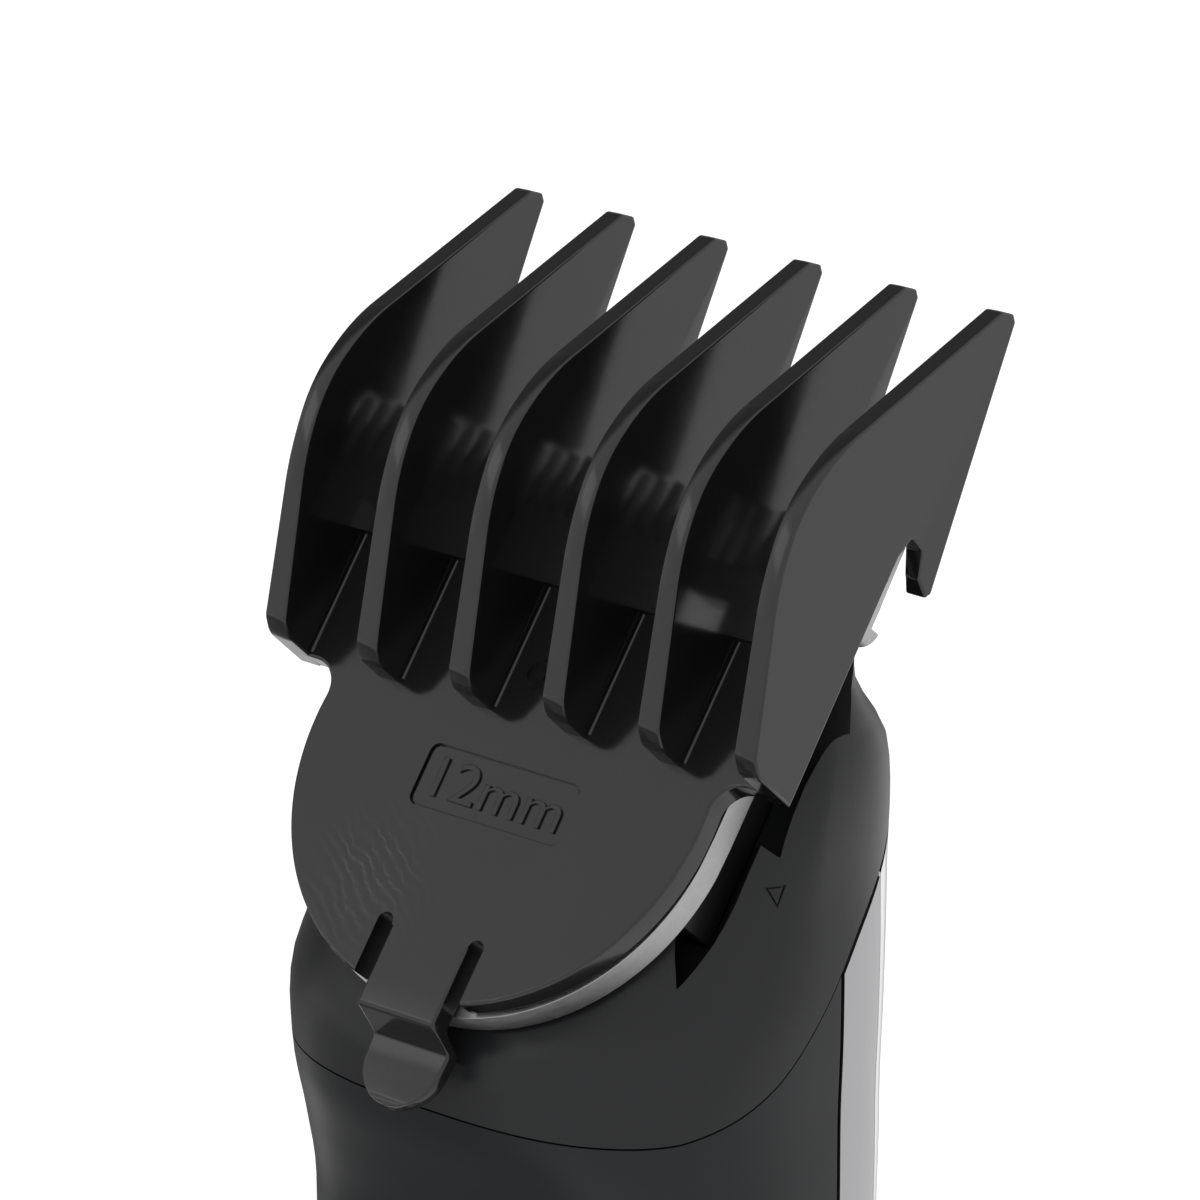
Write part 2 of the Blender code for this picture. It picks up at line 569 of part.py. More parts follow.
def chassis(finish):
    """The skeleton inside the grip: a back plate with shelves for the battery and the motor."""
    plate = box((-7.4, 10.4, 12.0), (7.4, 11.5, 114.0))
    frame = node("chassis", plate, finish)
    shelves = ((18.6, 21.2, -5.2, 12.5), (73.4, 76.0, -5.2, 12.5), (80.4, 83.4, -5.2, 12.0))
    for i, (low, high, front, half) in enumerate(shelves):
        shelf = box((-half, front, low), (half, 11.0, high))
        trim = helper(f"shelf_trim_{i + 1}", body_solid(WALL + GAP))
        shape = helper(f"shelf_{i + 1}", shelf)
        boolean(shape, trim, "INTERSECT")
        boolean(frame, shape, "UNION")
    for i, z in enumerate(CASE_SCREW_Z):
        hole = front_slab(circle(0.0, z, 1.1, 10), 9.0, 20.0)
        boolean(frame, helper(f"chassis_hole_{i + 1}", hole))
    return frame


def battery(finish):
    low, high = BATTERY_LOW_Z, BATTERY_TOP_Z
    profile = [(BATTERY_R - 0.6, low), (BATTERY_R, low + 0.6), (BATTERY_R, high - 1.6)]
    profile += [(BATTERY_R - 0.6, high - 1.0), (2.6, high - 0.9), (2.6, high)]
    return node("battery", turned(profile, 0.0, BATTERY_Y, 24), finish)


def contact_tab(name, x, z, finish):
    """A thin strip of brass from the board back to the battery or the motor."""
    front, back = BOARD_Y + BOARD_THICK + GAP, BATTERY_Y + 2.0
    return node(name, box((x - 1.6, front, z), (x + 1.6, back, z + 0.25)), finish)


def circuit_board(finish):
    back = BOARD_Y + BOARD_THICK
    board = box((-BOARD_HALF, BOARD_Y, BOARD_LOW_Z), (BOARD_HALF, back, BOARD_TOP_Z))
    made = node("circuit_board", board, finish)
    notch = box((-7.0, -20.0, BOARD_LOW_Z - 5.0), (7.0, 0.0, BOARD_LOW_Z + 1.5))
    return boolean(made, helper("board_notch", notch))


def power_switch(finish):
    front = BOARD_Y - GAP
    body = box((-3.0, front - 2.0, BUTTON_Z - 3.0), (3.0, front, BUTTON_Z + 3.0))
    switch = node("power_switch", body, finish)
    stem = front_slab(circle(0.0, BUTTON_Z, 1.5, 14), front - 2.5, front - 1.0)
    return boolean(switch, helper("switch_stem", stem), "UNION")


def button_flange(finish):
    """The flange behind the button that keeps it in the front cover."""
    outline = rounded(BUTTON_HALF_X + 1.6, BUTTON_HALF_Z + 1.6, 4.0, 0.0, BUTTON_Z)
    return node("button_flange", front_slab(outline, -11.8, -11.0), finish)


def power_button(finish):
    """An oval push button, a little proud of the front cover."""
    full = rounded(BUTTON_HALF_X, BUTTON_HALF_Z, BUTTON_HALF_X - 0.4, 0.0, BUTTON_Z, 6)
    small = rounded(BUTTON_HALF_X - 0.6, BUTTON_HALF_Z - 0.6, BUTTON_HALF_X - 1.0, 0.0, BUTTON_Z, 6)
    levels = ((full, -12.2), (full, -14.7), (small, -15.1))
    shape = rings([[(x, y, z) for x, z in outline] for outline, y in levels])
    return node("power_button", shape, finish, None, (0.0, -12.2, BUTTON_Z))


def light_lens(finish):
    outline = rounded(1.3, 2.3, 1.2, 0.0, LIGHT_Z)
    return node("light_lens", front_slab(outline, -14.35, -8.2), finish)


def charging_socket(finish):
    shell = slab(rounded(SOCKET_HALF_X, SOCKET_HALF_Y, 1.6, 0.0, SOCKET_Y), 0.6, 9.5)
    socket = node("charging_socket", shell, finish)
    mouth = slab(rounded(SOCKET_HALF_X - 0.5, SOCKET_HALF_Y - 0.5, 1.1, 0.0, SOCKET_Y), -1.0, 7.0)
    boolean(socket, helper("socket_mouth", mouth))
    tongue = box((-3.0, SOCKET_Y - 0.4, 2.0), (3.0, SOCKET_Y + 0.4, 8.0))
    return boolean(socket, helper("socket_tongue", tongue), "UNION")


def case_screw(name, z, finish):
    profile = [(0.8, 10.5), (0.8, 13.4), (1.9, 13.45), (1.9, 14.1)]
    loops = [[(x, y, h) for x, h in circle(0.0, z, r, 14)] for r, y in profile]
    screw = node(name, rings(loops), finish)
    cross = box((-1.2, 13.75, z - 0.25), (1.2, 20.0, z + 0.25))
    return boolean(screw, helper(name + "_slot", cross))


# ---------------------------------------------------------------- assembly


def clear_scene():
    for thing in list(bpy.data.objects):
        bpy.data.objects.remove(thing)


def build():
    clear_scene()
    comb_black = material("comb_black", (0.012, 0.012, 0.013), 0.12)
    head_black = material("head_charcoal", (0.035, 0.036, 0.038), 0.42)
    cover_black = material("cover_blue_black", (0.025, 0.027, 0.030), 0.35)
    steel = material("brushed_steel", (0.62, 0.62, 0.62), 0.3, 1.0)
    trim = material("satin_trim", (0.42, 0.42, 0.43), 0.35, 1.0)
    ceramic = material("ceramic_white", (0.85, 0.84, 0.80), 0.3)
    nylon = material("nylon_grey", (0.30, 0.31, 0.32), 0.5)
    zinc = material("zinc_plate", (0.55, 0.55, 0.56), 0.35, 1.0)
    brass = material("brass", (0.75, 0.55, 0.25), 0.3, 1.0)
    wrap = material("battery_wrap", (0.05, 0.20, 0.45), 0.4)
    green = material("board_green", (0.02, 0.16, 0.06), 0.45)
    clear = material("lens_white", (0.85, 0.88, 0.90), 0.2)

    plane = empty("blade_plane", (0.0, PLANE_Y, PLANE_Z), 90.0 - TILT)

    guide_comb(plane, comb_black)
    comb_latch(plane, comb_black)
    fixed_blade(plane, steel)
    moving_blade(plane, ceramic)
    blade_carrier(plane, nylon)
    blade_spring(plane, zinc)
    blade_screw("blade_screw_left", -BLADE_SCREW_X, plane, zinc)
    blade_screw("blade_screw_right", BLADE_SCREW_X, plane, zinc)

    head_housing(plane, head_black)
    front_cover(cover_black)
    rear_cover(cover_black)
    side_strip("side_strip_left", -1, trim)
    side_strip("side_strip_right", 1, trim)
    base_cap(cover_black)

    drive_lever(plane, nylon)
    lever_pivot_pin(zinc)
    eccentric_cam(nylon)
    motor_shaft(zinc)
    motor_can(zinc)
    motor_end_cap(nylon)
    motor_mount(zinc)
    motor_screw("motor_screw_left", -MOTOR_SCREW_X, zinc)
    motor_screw("motor_screw_right", MOTOR_SCREW_X, zinc)

    chassis(nylon)
    battery(wrap)
    contact_tab("battery_contact_top", 0.0, BATTERY_TOP_Z + GAP, brass)
    contact_tab("battery_contact_base", 0.0, BATTERY_LOW_Z - GAP - 0.25, brass)
    contact_tab("motor_contact_left", -5.0, MOTOR_LOW_Z - GAP - 0.25, brass)
    contact_tab("motor_contact_right", 5.0, MOTOR_LOW_Z - GAP - 0.25, brass)
    circuit_board(green)
    power_switch(nylon)
    button_flange(nylon)
    power_button(cover_black)
    light_lens(clear)
    charging_socket(zinc)
    case_screw("case_screw_lower", CASE_SCREW_Z[0], zinc)
    case_screw("case_screw_upper", CASE_SCREW_Z[1], zinc)


build()
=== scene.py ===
"""The looks of a hair clipper with its guide comb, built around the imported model.

Shapes are worked out in millimetres and become metres when a mesh is made. The blade
plane has its own coordinates: x across, u up the slope towards the teeth, n out of the
face, with its origin at the centre of the comb's disc.
"""

import math

import bmesh
import bpy
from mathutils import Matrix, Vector


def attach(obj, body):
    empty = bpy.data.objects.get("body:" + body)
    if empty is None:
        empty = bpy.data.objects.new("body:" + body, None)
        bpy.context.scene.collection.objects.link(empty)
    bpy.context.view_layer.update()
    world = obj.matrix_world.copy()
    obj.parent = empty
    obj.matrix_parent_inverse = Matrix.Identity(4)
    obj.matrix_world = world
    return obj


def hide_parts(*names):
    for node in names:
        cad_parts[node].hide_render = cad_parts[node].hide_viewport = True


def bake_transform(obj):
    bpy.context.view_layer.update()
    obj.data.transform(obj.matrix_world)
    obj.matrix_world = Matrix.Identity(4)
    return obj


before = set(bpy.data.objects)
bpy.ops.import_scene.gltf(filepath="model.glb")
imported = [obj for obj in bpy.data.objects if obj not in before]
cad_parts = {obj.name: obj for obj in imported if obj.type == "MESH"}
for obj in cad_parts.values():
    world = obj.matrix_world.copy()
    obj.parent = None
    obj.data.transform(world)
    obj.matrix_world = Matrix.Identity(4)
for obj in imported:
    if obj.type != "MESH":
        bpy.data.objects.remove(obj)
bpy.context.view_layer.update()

MM = 0.001
GAP, SEAM_GAP = 0.3, 0.14
FAR = 40.0  # half the size of a cutter that reaches past the whole body

# blade plane: its tilt, and where its origin lies
TILT = math.radians(39.81)
PLANE_Y, PLANE_Z = -9.9, 145.0

# guide comb
COMB_PITCH, FIN_COUNT, FIN_THICK, TIP_THICK = 8.0, 6, 1.95, 1.4
DISC_R, DISC_U, PLATE_THICK, PLATE_TOP_U, SHOULDER_U = 16.4, 0.35, 1.85, 13.4, 3.95
COMB_HALF = COMB_PITCH * (FIN_COUNT - 1) / 2 + FIN_THICK / 2
TONGUE_HALF, SLOT_WIDTH, TONGUE_TOP_U = 3.25, 1.25, -11.4
JOIN_U, BEND_END_U = -11.7, -13.8  # where the tongue's own piece starts, and where its bend ends
PLATE_EDGE, FIN_EDGE = 0.22, 0.2
LABEL_U, LABEL_HALF_X, LABEL_HALF_U, LABEL_ROUND, RECESS = -1.35, 6.35, 2.25, 0.7, 0.2
GATE_X, GATE_U, GATE_R, GATE_STUB_R, GATE_DEPTH = -0.6, 7.2, 1.1, 0.35, 0.35
UNDER_COMB, OVER_COMB, PAST_TAB_U = -3.0, 1.0, -25.0  # how far the comb's cutters reach

# blade
STEEL_TOP, STEEL_BOTTOM, TEETH_BOTTOM = -2.05, -4.2, -3.2
BAR_HALF, BAR_LOW_U, HEEL_R = 20.0, 16.0, 16.25
TOOTH_PITCH, TOOTH_WIDTH, TOOTH_ROOT_U, TOOTH_TIP_U = 1.4, 0.75, 18.6, 23.2
MOVER_BOTTOM = -5.6
RELIEF_U, GRIND_U = 17.2, 18.5
BLADE_SCREW_X, BLADE_SCREW_U, BLADE_HOLE_R, BLADE_SINK_R, BLADE_SINK = 11.0, 3.0, 1.4, 2.5, 1.1

# flat face under the blade
FACE_N, FACE_LOW_Z, POCKET_FLOOR = -4.5, 130.0, -8.1

# body: height, half width, front y, back y, y where it is widest
BODY = [
    (0.0, 17.7, -12.4, 12.4, 0.0),
    (1.5, 18.6, -13.5, 13.5, 0.0),
    (8.0, 19.1, -14.1, 14.1, 0.0),
    (60.0, 19.3, -14.2, 14.3, 0.0),
    (112.0, 19.3, -14.6, 14.6, 0.0),
    (117.6, 19.3, -16.0, 14.9, 0.0),
    (122.4, 19.3, -17.6, 15.0, 0.0),
    (126.5, 19.45, -17.9, 15.1, 0.0),
    (129.3, 19.5, -17.2, 15.2, 0.0),
    (133.0, 19.5, -14.0, 15.4, 0.0),
    (137.7, 19.4, -10.0, 15.7, 0.0),
    (143.0, 19.6, -5.6, 15.7, 0.0),
    (146.1, 19.3, -3.0, 14.9, 1.0),
    (147.7, 18.8, -1.7, 13.5, 2.0),
    (149.2, 18.0, -0.4, 12.2, 2.5),
    (150.7, 17.3, 0.7, 11.2, 3.0),
    (154.0, 16.5, 3.5, 9.8, 5.5),
    (157.0, 15.5, 6.0, 8.9, 7.2),
]
BACK_POWER, FRONT_POWER, BODY_SIDES, ROW_STEP = 2.5, 2.8, 128, 1.3
# how far the body would stand out in front of its flat face: z, distance
FACE_BULGE = [(127.0, 0.0), (129.3, 0.6), (133.0, 2.2), (146.0, 2.2), (157.0, 0.8)]
FACE_POWER, FACE_EASE = 2.2, 0.6
WALL, FACE_WALL, BASE_HEIGHT = 1.8, 4.0, 7.0
BODY_TOP_Z = 175.0
# seam between the head and the covers, seen from the side: y, z
SEAM = [
    (-24.0, 123.9),
    (-14.0, 123.9),
    (-10.8, 124.3),
    (-7.0, 125.5),
    (-3.6, 127.4),
    (0.0, 130.7),
    (3.5, 134.9),
    (7.0, 138.0),
    (10.0, 140.6),
    (13.0, 142.6),
    (16.0, 143.4),
    (24.0, 143.4),
]
SPLIT_Y, COVER_FAR = 1.5, 23.9
STRIP_BACK_Y, STRIP_THICK, STRIP_LOW_Z, STRIP_INNER_X = 10.2, 1.0, 9.0, 5.0
GROOVE_FRONT_Y, GROOVE_BACK_Y, GROOVE_DEPTH = 6.9, 7.15, 0.15
BUTTON_Z, BUTTON_HOLE = 92.0, (5.5, 7.5, 5.1)
LIGHT_Z, LIGHT_HOLE = 78.0, (1.6, 2.6, 1.5)
CASE_SCREW_ZS, THREAD_R, SCREW_SINK_R, SCREW_SINK_Y = (30.0, 106.0), 1.1, 2.3, 13.15
PORT_Y, PORT, ROOM = 5.5, (4.8, 2.0, 1.9), (12.0, 8.5, 3.0)


# ---------------------------------------------------------------- shape helpers


def to_world(x, u, n):
    y = PLANE_Y + math.sin(TILT) * u - math.cos(TILT) * n
    z = PLANE_Z + math.cos(TILT) * u + math.sin(TILT) * n
    return (x, y, z)


def mesh_object(name, points, faces, smooth_angle=35.0):
    mesh = bpy.data.meshes.new(name)
    mesh.from_pydata([Vector(p) * MM for p in points], [], faces)
    bm = bmesh.new()
    bm.from_mesh(mesh)
    bmesh.ops.recalc_face_normals(bm, faces=bm.faces)
    bm.to_mesh(mesh)
    bm.free()
    mesh.shade_smooth()
    mesh.set_sharp_from_angle(angle=math.radians(smooth_angle))
    made = bpy.data.objects.new(name, mesh)
    bpy.context.collection.objects.link(made)
    return made


def rings(name, loops, smooth_angle=35.0):
    """A closed solid from rings of points, each joined to the next, with flat ends."""
    count = len(loops[0])
    points = [p for loop in loops for p in loop]
    faces = []
    for k in range(len(loops) - 1):
        for i in range(count):
            j = (i + 1) % count
            low, high = k * count, (k + 1) * count
            faces.append((low + i, low + j, high + j, high + i))
    faces.append(tuple(reversed(range(count))))
    faces.append(tuple(range(len(points) - count, len(points))))
    return mesh_object(name, points, faces, smooth_angle)


def arc(cx, cy, radius, start, end, steps):
    turn = [math.radians(start + (end - start) * i / steps) for i in range(steps + 1)]
    return [(cx + radius * math.cos(t), cy + radius * math.sin(t)) for t in turn]


def circle(cx, cy, radius, sides):
    return arc(cx, cy, radius, 0.0, 360.0 * (sides - 1) / sides, sides - 1)


def rounded(half_x, half_y, radius, cx=0.0, cy=0.0, steps=6):
    points = []
    for sx, sy, start in ((1, 1, 0), (-1, 1, 90), (-1, -1, 180), (1, -1, 270)):
        x, y = cx + sx * (half_x - radius), cy + sy * (half_y - radius)
        points += arc(x, y, radius, start, start + 90, steps)
    return points


def both_sides(points):
    return points + [(-x, y) for x, y in reversed(points)]


def soften(corners, steps=5):
    """An outline from corners given as x, y and the radius that rounds each one."""
    points = []
    for i, (x, y, radius) in enumerate(corners):
        here = Vector((x, y))
        before = Vector(corners[i - 1][:2]) - here
        after = Vector(corners[(i + 1) % len(corners)][:2]) - here
        half = before.angle(after) / 2
        if radius <= 0 or half > math.radians(89.0):
            points.append((x, y))
            continue
        reach = min(radius / math.tan(half), 0.49 * before.length, 0.49 * after.length)
        real = reach * math.tan(half)
        start = here + before.normalized() * reach
        stop = here + after.normalized() * reach
        middle = here + (before.normalized() + after.normalized()).normalized() * (real / math.sin(half))
        for k in range(steps + 1):
            spot = start.lerp(stop, k / steps) - middle
            spot = middle + spot.normalized() * real
            points.append((spot.x, spot.y))
    return points


def inset(points, distance):
    """The outline moved inwards by a distance, along the mitre of each corner."""
    area = sum(a[0] * b[1] - b[0] * a[1] for a, b in zip(points, points[1:] + points[:1]))
    side = 1.0 if area > 0 else -1.0
    moved = []
    for i, point in enumerate(points):
        before = Vector(point) - Vector(points[i - 1])
        after = Vector(points[(i + 1) % len(points)]) - Vector(point)
        if before.length < 1e-6:
            before = after
        if after.length < 1e-6:
            after = before
        n1 = Vector((-before.y, before.x)).normalized() * side
        n2 = Vector((-after.y, after.x)).normalized() * side
        mitre = n1 + n2
        mitre = mitre / max(mitre.dot(n1), 0.7)
        moved.append((point[0] + mitre.x * distance, point[1] + mitre.y * distance))
    return moved


def prism(name, outline, low, high, place, edge=0.0, steps=3):
    """An outline raised from low to high with rounded edges; place makes a 3-D point."""
    loops = []
    for end, inward in ((low, 1.0), (high, -1.0)):
        levels = []
        for k in range(steps + 1 if edge else 1):
            turn = math.radians(90.0 * k / steps)
            shrink = edge * (1.0 - math.sin(turn))
            rise = edge * (1.0 - math.cos(turn))
            levels.append([place(a, b, end + inward * rise) for a, b in inset(outline, shrink)])
        loops += levels if inward > 0 else reversed(levels)
    return rings(name, loops)


def flat(a, b, c):
    """Outline in x and u, raised along n."""
    return to_world(a, b, c)


def sideways(a, b, c):
    """Outline in u and n, raised along x."""
    return to_world(c, a, b)


def lengthwise(a, b, c):
    """Outline in x and n, raised along u."""
    return to_world(a, c, b)


def profile_yz(a, b, c):
    """Outline in y and z, raised along x."""
    return (c, a, b)


def upright_xy(a, b, c):
    """Outline in x and y, raised along z."""
    return (a, b, c)


def front_xz(a, b, c):
    """Outline in x and z, raised along y."""
    return (a, c, b)


def bake(target):
    """Applies the object's modifiers to its mesh."""
    bpy.context.view_layer.update()
    graph = bpy.context.evaluated_depsgraph_get()
    mesh = bpy.data.meshes.new_from_object(target.evaluated_get(graph))
    target.modifiers.clear()
    target.data = mesh
    return target


def combine(target, others, operation="DIFFERENCE"):
    """Cuts, joins or crosses the target with helper objects, which are then removed."""
    for other in others:
        step = target.modifiers.new("combine", "BOOLEAN")
        step.operation = operation
        step.object = other
    bake(target)
    for other in others:
        bpy.data.objects.remove(other)
    return target


def eased(target, width, angle=42.0):
    """Rounds the sharp edges by a small width."""
    step = target.modifiers.new("edges", "BEVEL")
    step.width = width * MM
    step.segments = 2
    step.limit_method = "ANGLE"
    step.angle_limit = math.radians(angle)
    return bake(target)


def tidy(target, angle=35.0):
    """Merges doubled points, sets which edges are sharp and keeps flat faces looking flat."""
    bm = bmesh.new()
    bm.from_mesh(target.data)
    bmesh.ops.remove_doubles(bm, verts=bm.verts, dist=0.002 * MM)
    bmesh.ops.dissolve_degenerate(bm, dist=0.002 * MM, edges=bm.edges)
    bm.to_mesh(target.data)
    bm.free()
    target.data.shade_smooth()
    target.data.set_sharp_from_angle(angle=math.radians(angle))
    step = target.modifiers.new("normals", "WEIGHTED_NORMAL")
    step.keep_sharp = True
    return bake(target)


# ---------------------------------------------------------------- camera, floor and light


def look_at(obj, target):
    obj.rotation_euler = (Vector(target) - obj.location).to_track_quat("-Z", "Y").to_euler()


def camera():
    data = bpy.data.cameras.new("camera")
    made = bpy.data.objects.new("camera", data)
    bpy.context.collection.objects.link(made)
    target = Vector((2.5, -2.88, 155.86)) * MM
    azimuth, elevation, distance = math.radians(39.4), math.radians(20.62), 0.609
    back = Vector((
        math.sin(azimuth) * math.cos(elevation),
        -math.cos(azimuth) * math.cos(elevation),
        math.sin(elevation),
    ))
    made.location = target + back * distance
    look_at(made, target)
    data.lens = 278.8
    data.sensor_width = 36.0
    data.clip_start = 0.01
    data.clip_end = 20.0
    bpy.context.scene.camera = made


def area_light(name, place, size, glow):
    """A soft box that faces the object; glow is its brightness against white."""
    data = bpy.data.lights.new(name, "AREA")
    data.shape = "RECTANGLE"
    data.size, data.size_y = size
    data.energy = glow * math.pi * size[0] * size[1]
    made = bpy.data.objects.new(name, data)
    made.location = place
    look_at(made, (0, 0, 0.15))
    bpy.context.collection.objects.link(made)


def floor():
    """A pale floor that glows a little, like a lit table."""
    bpy.ops.mesh.primitive_plane_add(size=6.0, location=(0, 0, 0))
    made = bpy.context.object
    made.name = "floor"
    finish = bpy.data.materials.new("floor_white")
    finish.use_nodes = True
    shader = finish.node_tree.nodes["Principled BSDF"]
    shader.inputs["Base Color"].default_value = (0.9, 0.9, 0.9, 1)
    shader.inputs["Roughness"].default_value = 0.9
    shader.inputs["Emission Color"].default_value = (1, 1, 1, 1)
    shader.inputs["Emission Strength"].default_value = 0.35
    made.data.materials.append(finish)
    made.visible_glossy = False


def dark_side(tree, direction, edge, centre, full, least):
    """A smooth fall from full to least brightness towards one direction."""
    coords = tree.nodes.new("ShaderNodeTexCoord")
    towards = tree.nodes.new("ShaderNodeVectorMath")
    towards.operation = "DOT_PRODUCT"
    towards.inputs[1].default_value = direction
    ramp = tree.nodes.new("ShaderNodeMapRange")
    ramp.interpolation_type = "SMOOTHSTEP"
    ramp.inputs["From Min"].default_value = edge
    ramp.inputs["From Max"].default_value = centre
    ramp.inputs["To Min"].default_value = full
    ramp.inputs["To Max"].default_value = least
    tree.links.new(coords.outputs["Generated"], towards.inputs[0])
    tree.links.new(towards.outputs["Value"], ramp.inputs["Value"])
    return ramp.outputs["Result"]


def surroundings():
    """White all round, with a dark wall at the back left and a smaller dark patch low at the left."""
    world = bpy.data.worlds.new("studio")
    bpy.context.scene.world = world
    world.use_nodes = True
    tree = world.node_tree
    both = tree.nodes.new("ShaderNodeMath")
    both.operation = "MULTIPLY"
    tree.nodes["Background"].inputs["Color"].default_value = (1, 1, 1, 1)
    wall = dark_side(tree, (-0.75, 0.50, 0.30), edge=0.50, centre=0.70, full=1.05, least=0.22)
    patch = dark_side(tree, (-0.62, -0.30, -0.72), edge=0.80, centre=0.92, full=1.0, least=0.3)
    tree.links.new(wall, both.inputs[0])
    tree.links.new(patch, both.inputs[1])
    tree.links.new(both.outputs["Value"], tree.nodes["Background"].inputs["Strength"])


def studio():
    floor()
    surroundings()
    area_light("key", place=(-0.57, -0.72, 0.62), size=(0.5, 0.3), glow=0.8)
    bpy.context.scene.view_settings.view_transform = "Standard"


# ---------------------------------------------------------------- materials


class Shade:
    """A Principled material whose nodes are added one call at a time."""

    def __init__(self, name, colour, roughness, metallic=0.0):
        self.made = bpy.data.materials.new(name)
        self.made.use_nodes = True
        self.tree = self.made.node_tree
        self.shader = self.tree.nodes["Principled BSDF"]
        self.shader.inputs["Base Color"].default_value = (*colour, 1)
        self.shader.inputs["Roughness"].default_value = roughness
        self.shader.inputs["Metallic"].default_value = metallic
        self.colour, self.roughness = colour, roughness
        self.height = None
        coords = self.tree.nodes.new("ShaderNodeTexCoord")
        self.object_space = coords.outputs["Object"]

    def node(self, kind, **values):
        made = self.tree.nodes.new(kind)
        for key, value in values.items():
            setattr(made, key, value)
        return made

    def link(self, source, target):
        self.tree.links.new(source, target)

    def stretched(self, scale):
        mapping = self.node("ShaderNodeMapping")
        mapping.inputs["Scale"].default_value = scale
        self.link(self.object_space, mapping.inputs["Vector"])
        return mapping.outputs["Vector"]

    def noise(self, scale, detail, vector=None):
        made = self.node("ShaderNodeTexNoise")
        made.inputs["Scale"].default_value = scale
        made.inputs["Detail"].default_value = detail
        self.link(vector or self.object_space, made.inputs["Vector"])
        return made.outputs["Fac"]

    def ramp(self, source, low, high, start=0.0, end=1.0):
        """Maps the source from low..high to start..end."""
        made = self.node("ShaderNodeMapRange")
        made.inputs["From Min"].default_value = low
        made.inputs["From Max"].default_value = high
        made.inputs["To Min"].default_value = start
        made.inputs["To Max"].default_value = end
        self.link(source, made.inputs["Value"])
        return made.outputs["Result"]

    def near(self, place, radius):
        """1 at a place given in millimetres, falling to 0 at the radius."""
        distance = self.node("ShaderNodeVectorMath", operation="DISTANCE")
        distance.inputs[1].default_value = Vector(place) * MM
        self.link(self.object_space, distance.inputs[0])
        return self.ramp(distance.outputs["Value"], 0.3 * radius * MM, radius * MM, 1.0, 0.0)

    def times(self, first, second):
        made = self.node("ShaderNodeMath", operation="MULTIPLY")
        self.link(first, made.inputs[0])
        self.link(second, made.inputs[1])
        return made.outputs["Value"]

    def vary_roughness(self, source, spread):
        value = self.ramp(source, 0.3, 0.7, self.roughness - spread, self.roughness + spread)
        self.link(value, self.shader.inputs["Roughness"])

    def vary_colour(self, source, other):
        mix = self.node("ShaderNodeMix", data_type="RGBA")
        mix.inputs["A"].default_value = (*self.colour, 1)
        mix.inputs["B"].default_value = (*other, 1)
        self.link(source, mix.inputs["Factor"])
        self.link(mix.outputs["Result"], self.shader.inputs["Base Color"])

    def bump(self, source, depth_mm, strength):
        made = self.node("ShaderNodeBump")
        made.inputs["Strength"].default_value = strength
        made.inputs["Distance"].default_value = depth_mm * MM
        self.link(source, made.inputs["Height"])
        if self.height:
            self.link(self.height, made.inputs["Normal"])
        self.height = made.outputs["Normal"]
        self.link(self.height, self.shader.inputs["Normal"])


def comb_gloss():
    """Gloss black moulding: orange peel, and flow marks where the plastic met itself."""
    shade = Shade("comb_gloss", (0.006, 0.006, 0.0065), 0.13)
    shade.bump(shade.noise(700.0, 3.0), 0.006, 0.5)
    shade.bump(shade.noise(2600.0, 2.0), 0.0015, 0.5)
    waves = shade.node("ShaderNodeTexWave", bands_direction="DIAGONAL")
    waves.inputs["Scale"].default_value = 450.0
    waves.inputs["Distortion"].default_value = 9.0
    waves.inputs["Detail"].default_value = 3.0
    waves.inputs["Detail Scale"].default_value = 0.8
    shade.link(shade.object_space, waves.inputs["Vector"])
    spot = shade.near(to_world(-6.5, -8.5, 0.0), 6.5)
    shade.bump(shade.times(waves.outputs["Fac"], spot), 0.008, 0.8)
    shade.vary_roughness(shade.noise(160.0, 4.0), 0.03)
    return shade.made


def satin(name, colour, roughness, shine=0.5):
    """Moulded plastic with a fine grain."""
    shade = Shade(name, colour, roughness)
    shade.shader.inputs["Specular IOR Level"].default_value = shine
    shade.bump(shade.noise(3200.0, 3.0), 0.006, 0.5)
    shade.vary_roughness(shade.noise(120.0, 4.0), 0.015)
    shade.vary_colour(shade.noise(60.0, 5.0), tuple(c * 1.15 for c in colour))
    return shade.made


def brushed(name, colour, roughness, scale):
    """Bare metal, with lines along the axis whose scale is the smallest."""
    shade = Shade(name, colour, roughness, 1.0)
    lines = shade.noise(1.0, 4.0, shade.stretched(scale))
    shade.bump(lines, 0.004, 0.5)
    shade.vary_roughness(lines, 0.06)
    shade.vary_colour(shade.noise(900.0, 4.0), tuple(c * 0.82 for c in colour))
    return shade.made


def trim_finish():
    """Satin metal at the front of the strip, polished behind its groove line."""
    shade = Shade("trim_satin", (0.40, 0.40, 0.41), 0.35, 1.0)
    lines = shade.noise(1.0, 4.0, shade.stretched((3000, 3000, 40)))
    shade.bump(lines, 0.004, 0.5)
    parts = shade.node("ShaderNodeSeparateXYZ")
    shade.link(shade.object_space, parts.inputs["Vector"])
    line = (GROOVE_FRONT_Y + 0.1) * MM
    polished = shade.ramp(parts.outputs["Y"], line, line + 0.1 * MM)
    shade.vary_colour(polished, (0.72, 0.72, 0.73))
    shade.link(shade.ramp(polished, 0.0, 1.0, 0.36, 0.12), shade.shader.inputs["Roughness"])
    return shade.made


